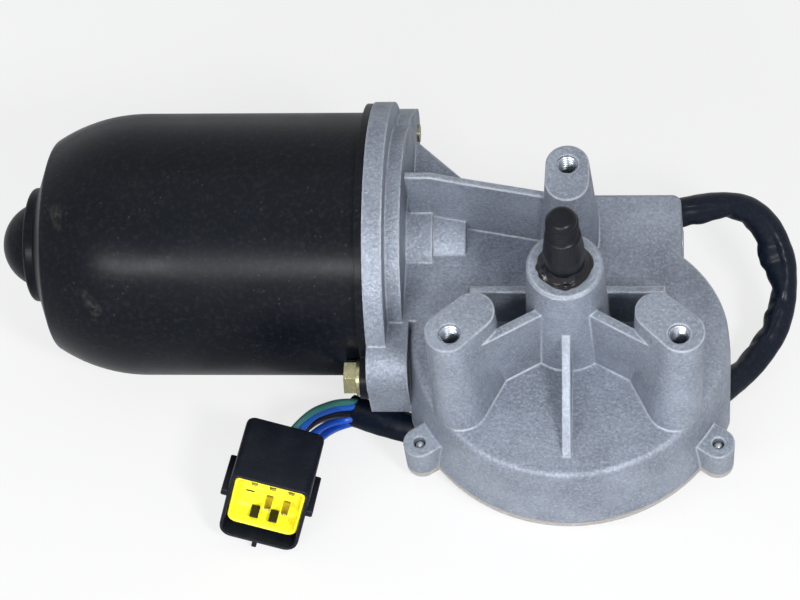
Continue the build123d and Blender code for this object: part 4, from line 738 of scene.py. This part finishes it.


# %% [markdown]
# ## The finishes
# Die-cast aluminium is blasted, so it is grey with bright and dark grains, a sprinkle of painted glints and a painted
# highlight on its edges. The can is black enamel on drawn steel.
# Inside there is ground steel, oiled bronze, natural acetal, copper and ferrite.

# %% All the finishes
# The edge colours below are lighter than their bodies: partly wear, partly a painted highlight on edges and corners.
FINISHES = {
    "casting": finish("cast_aluminium", (0.25, 0.282, 0.34), (0.165, 0.188, 0.23), 0.5, 0.35, grain=(1050.0, 0.55),
                      bump=0.0004, edge=(0.6, 0.63, 0.68), edge_amount=0.7, dust=0.02, clouds=(60.0, 2.6),
                      radius=0.0012, glints=0.5),
    "gasket": finish("fibre_gasket", (0.46, 0.36, 0.27), (0.36, 0.28, 0.21), 0.85, dust=0.1),
    "cover_steel": finish("plated_cover", (0.5, 0.51, 0.52), (0.4, 0.41, 0.43), 0.34, 0.9, grain=(900.0, 0.1),
                          bump=0.00002, scratch=(60.0, 700.0, 700.0)),
    "zinc_steel": finish("zinc_screw", (0.55, 0.56, 0.57), (0.42, 0.43, 0.45), 0.35, 0.95, grain=(2500.0, 0.1),
                         bump=0.00002),
    "shaft_steel": finish("blackened_steel", (0.003, 0.0035, 0.006), (0.006, 0.0065, 0.01), 0.32, 0.0,
                          grain=(1800.0, 0.3), bump=0.00003,
                          edge=(0.05, 0.05, 0.065), edge_amount=0.4, dust=0.0, specular=0.16, radius=0.0003),
    "sinter_bronze": finish("oiled_bronze", (0.45, 0.3, 0.14), (0.33, 0.21, 0.1), 0.42, 0.9, grain=(2600.0, 0.4),
                            bump=0.00003),
    "rubber": finish("moulded_rubber", (0.008, 0.008, 0.009), (0.014, 0.014, 0.015), 0.6, grain=(1800.0, 0.2),
                     edge=(0.04, 0.04, 0.04), dust=0.08, specular=0.25),
    "spring_steel": finish("spring_steel", (0.33, 0.34, 0.36), (0.25, 0.26, 0.28), 0.33, 0.95, grain=(2500.0, 0.1),
                           bump=0.00001),
    "gear_plastic": finish("natural_acetal", (0.72, 0.69, 0.58), (0.66, 0.62, 0.5), 0.38, grain=(700.0, 0.1),
                           bump=0.00001, dust=0.05),
    "contact_brass": finish("contact_brass", (0.62, 0.45, 0.18), (0.5, 0.35, 0.13), 0.3, 0.95, grain=(2500.0, 0.1),
                            bump=0.00001),
    "carrier_plastic": finish("brown_phenolic", (0.09, 0.06, 0.045), (0.06, 0.042, 0.033), 0.45, grain=(1300.0, 0.2)),
    "yellow_zinc": finish("yellow_zinc", (0.33, 0.31, 0.17), (0.22, 0.215, 0.13), 0.3, 0.85, grain=(1600.0, 0.2),
                          bump=0.00002, clouds=(220.0, 2.4), radius=0.0003),
    "ferrite": finish("sintered_ferrite", (0.075, 0.075, 0.08), (0.05, 0.05, 0.054), 0.6, 0.1, grain=(900.0, 0.3),
                      bump=0.00006),
    "core_steel": finish("laminated_core", (0.25, 0.26, 0.28), (0.17, 0.18, 0.19), 0.38, 0.85,
                         scratch=(2200.0, 30.0, 30.0)),
    "copper": finish("enamelled_copper", (0.55, 0.2, 0.07), (0.42, 0.14, 0.05), 0.3, 0.85, grain=(1500.0, 0.4),
                     bump=0.0001, coat=0.4),
    "carbon": finish("copper_graphite", (0.06, 0.055, 0.052), (0.035, 0.032, 0.03), 0.55, 0.2),
    "bearing_steel": finish("bearing_steel", (0.6, 0.6, 0.62), (0.52, 0.52, 0.54), 0.2, 1.0, grain=(3000.0, 0.1),
                            bump=0.00001),
    "connector_black": finish("black_nylon", (0.004, 0.0055, 0.01), (0.007, 0.009, 0.016), 0.36, grain=(1400.0, 0.2),
                              bump=0.00002, edge=(0.1, 0.11, 0.14), edge_amount=0.3, dust=0.012, radius=0.0004,
                              specular=0.13),
    "connector_yellow": finish("yellow_nylon", (0.93, 0.86, 0.035), (0.88, 0.8, 0.03), 0.34, grain=(1500.0, 0.1),
                               bump=0.00001, edge=(1.0, 0.95, 0.25), dust=0.02, radius=0.0003),
    "yoke_paint": finish("black_enamel", (0.0025, 0.0036, 0.006), (0.004, 0.0056, 0.0088), 0.3, 0.0,
                         grain=(620.0, 0.7), bump=0.00003, edge=(0.03, 0.032, 0.036),
                         edge_amount=0.35, dust=0.0, specular=0.1, glints=0.03, radius=0.0006,
                         smear=(placed([-164.1, 31.5, 50.2]), placed([-151.2, 3.5, 34.6]), 0.0026)),
}
SLEEVE_BLACK = finish("cable_sleeve_black", (0.003, 0.0055, 0.012), (0.005, 0.009, 0.019), 0.3, grain=(700.0, 0.6),
                      bump=0.00004, dust=0.0, radius=0.0002, specular=0.13)
GREASE_BLACK = finish("used_grease", (0.003, 0.003, 0.005), (0.006, 0.006, 0.008), 0.17, grain=(900.0, 0.4),
                      bump=0.00008, dust=0.0, radius=0.0002, specular=0.3)
# The thread's tone is partly the brightness of cut aluminium and partly painted light down in the holes; its pale
# crests are a painted highlight.
CUT_THREAD = finish("cut_thread", (0.36, 0.4, 0.46), (0.28, 0.31, 0.36), 0.27, 0.75, grain=(1800.0, 0.3),
                    bump=0.00003, edge=(0.8, 0.84, 0.9), edge_amount=0.4, dust=0.0, radius=0.0001)
# A lighter copy of the zinc finish for the cover screws: painted light on the ends that sit down in their lugs.
SCREW_PAINTED_LIGHT = finish("screw_painted_light", (0.62, 0.66, 0.68), (0.42, 0.45, 0.48), 0.35, 0.45, grain=(2500.0, 0.3),
                      bump=0.00003, dust=0.0, radius=0.0003)
# Painted shade for the tray's wells and slit.
WELL_SHADE = finish("well_shadow", (0.012, 0.011, 0.004), (0.02, 0.018, 0.007), 0.5, grain=(1500.0, 0.2),
                    bump=0.00002, dust=0.0, radius=0.0002, specular=0.2)
GOLD_BLADE = finish("tinned_brass", (0.42, 0.34, 0.09), (0.3, 0.24, 0.06), 0.28, 0.85, grain=(2200.0, 0.2),
                    bump=0.00002, dust=0.02, radius=0.0002)
LEAD_COLOURS = {
    "lead_teal": ((0.05, 0.2, 0.16), (0.03, 0.13, 0.16)), "lead_light_blue": ((0.012, 0.1, 0.5), (0.01, 0.08, 0.4)),
    "lead_blue": ((0.005, 0.085, 0.55), (0.005, 0.065, 0.45)),
    "lead_black": ((0.006, 0.006, 0.01), (0.01, 0.01, 0.016)),
    "lead_deep_blue": ((0.004, 0.07, 0.5), (0.004, 0.05, 0.4)),
}
record = frame["record"]
slot_of = {entry["node"]: entry["material_slot"] for entry in record["subparts"]}


def dress(piece, material):
    """Puts one material on every slot of a piece."""
    if not piece.data.materials:
        piece.data.materials.append(material)
    for index in range(len(piece.data.materials)):
        piece.data.materials[index] = material


def plug_slot(piece):
    """The yellow slot for the tray and the terminals' seats, the black one for the rest of the plug."""
    return "connector_yellow" if "seat" in piece.name or "tray" in piece.name else "connector_black"


WELD_DISTANCE = 0.000002
HARD_ANGLE = math.radians(28)
for name, node in nodes.items():
    if slot_of[name] in FINISHES:
        dress(node, FINISHES[slot_of[name]])
    node.data.polygons.foreach_set("use_smooth", [True] * len(node.data.polygons))
    weld = node.modifiers.new("weld", "WELD")
    weld.merge_threshold = WELD_DISTANCE
    split = node.modifiers.new("hard_edges", "EDGE_SPLIT")
    split.split_angle = HARD_ANGLE
PIECE_FINISHES = [
    (sleeve, SLEEVE_BLACK, "rubber"), (grease, GREASE_BLACK, "rubber"),
    (shaft_skin, FINISHES["shaft_steel"], "shaft_steel"),
    (screw_set, SCREW_PAINTED_LIGHT, "zinc_steel"),
]
PIECE_FINISHES += [(piece, FINISHES[plug_slot(piece)], plug_slot(piece)) for piece in plug_pieces]
PIECE_FINISHES += [(piece, CUT_THREAD, "casting") for piece in hole_threads]
PIECE_FINISHES += [(piece, GREASE_BLACK, "rubber") for piece in bead_skins]
PIECE_FINISHES += [(piece, GOLD_BLADE, "contact_brass") for piece in blades]
PIECE_FINISHES += [(piece, WELL_SHADE, "connector_black") for piece in wells]
for piece, material, slot in PIECE_FINISHES:
    dress(piece, material)
dress(nodes["shaft_circlip"], FINISHES["shaft_steel"])
dress(nodes["shaft_seal"], FINISHES["rubber"])
for name, lead in leads.items():
    dress(lead,
          finish(name + "_plastic", *LEAD_COLOURS[name], 0.34, grain=(2500.0, 0.1), bump=0.00001, dust=0.03,
                 radius=0.0002))
print("dressed", len(nodes), "nodes")

# %% [markdown]
# ## Floor, air and lamps
# Three soft boxes light a pale floor: a small one from the front right, a long low one from the front left, and a
# faint one above. The floor also glows a little, for the camera alone, so it stays pale and keeps a light shadow.
# The camera sees white behind the motor; the metal sees it too.

# %% Floor and world
FLOOR_DROP = 0.0004
FLOOR_GLOW = 0.75
ROOM_TONE = (0.3, 0.31, 0.33, 1)
floor_mesh = bpy.data.meshes.new("floor")
floor_mesh.from_pydata([(-4, -4, 0), (4, -4, 0), (4, 4, 0), (-4, 4, 0)], [], [(0, 1, 2, 3)])
floor = bpy.data.objects.new("floor", floor_mesh)
scene.collection.objects.link(floor)
floor.location = (0, 0, -FLOOR_DROP)
floor_paint = bpy.data.materials.new("floor_paper")
floor_paint.use_nodes = True
tree = floor_paint.node_tree
paper = tree.nodes["Principled BSDF"]
paper.inputs["Base Color"].default_value = (0.9, 0.9, 0.9, 1)
paper.inputs["Roughness"].default_value = 0.9
glow = tree.nodes.new("ShaderNodeEmission")
blend = tree.nodes.new("ShaderNodeMixShader")
look = tree.nodes.new("ShaderNodeLightPath")
tree.links.new(maths(tree, "MULTIPLY", look.outputs["Is Camera Ray"], FLOOR_GLOW), blend.inputs[0])
tree.links.new(paper.outputs[0], blend.inputs[1])
tree.links.new(glow.outputs[0], blend.inputs[2])
tree.links.new(blend.outputs[0], tree.nodes["Material Output"].inputs["Surface"])
floor_mesh.materials.append(floor_paint)

air = bpy.data.worlds.new("studio_air")
scene.world = air
air.use_nodes = True
tree = air.node_tree
background = tree.nodes["Background"]
path = tree.nodes.new("ShaderNodeLightPath")
seen = maths(tree, "MAXIMUM", path.outputs["Is Camera Ray"], path.outputs["Is Transmission Ray"])
seen = maths(tree, "MAXIMUM", seen, path.outputs["Is Glossy Ray"])
tone = mixed(tree, seen, ROOM_TONE, (1.0, 1.0, 1.0, 1))
tree.links.new(tone, background.inputs["Color"])
background.inputs["Strength"].default_value = 1.0


def lamp(name, spot, target, size, power):
    """A rectangular soft box at a spot, turned towards a target; sizes in metres, power in watts."""
    data = bpy.data.lights.new(name, "AREA")
    data.shape = "RECTANGLE"
    data.size, data.size_y = size
    data.energy = power
    made = bpy.data.objects.new(name, data)
    scene.collection.objects.link(made)
    made.location = spot
    made.rotation_euler = (Vector(target) - Vector(spot)).to_track_quat("-Z", "Y").to_euler()
    return made


lamp("key_box", (0.36, -0.68, 0.52), (0.02, 0, 0.05), (0.14, 0.14), 4.9)
lamp("front_box", (-0.2, -0.85, 0.34), (0, 0, 0.05), (0.7, 0.12), 6.0)
lamp("top_box", (-0.2, -0.1, 0.9), (0, 0, 0.05), (0.6, 0.5), 0.4)

# %% [markdown]
# ## Close

# %% View transform
scene.view_settings.view_transform = "Standard"
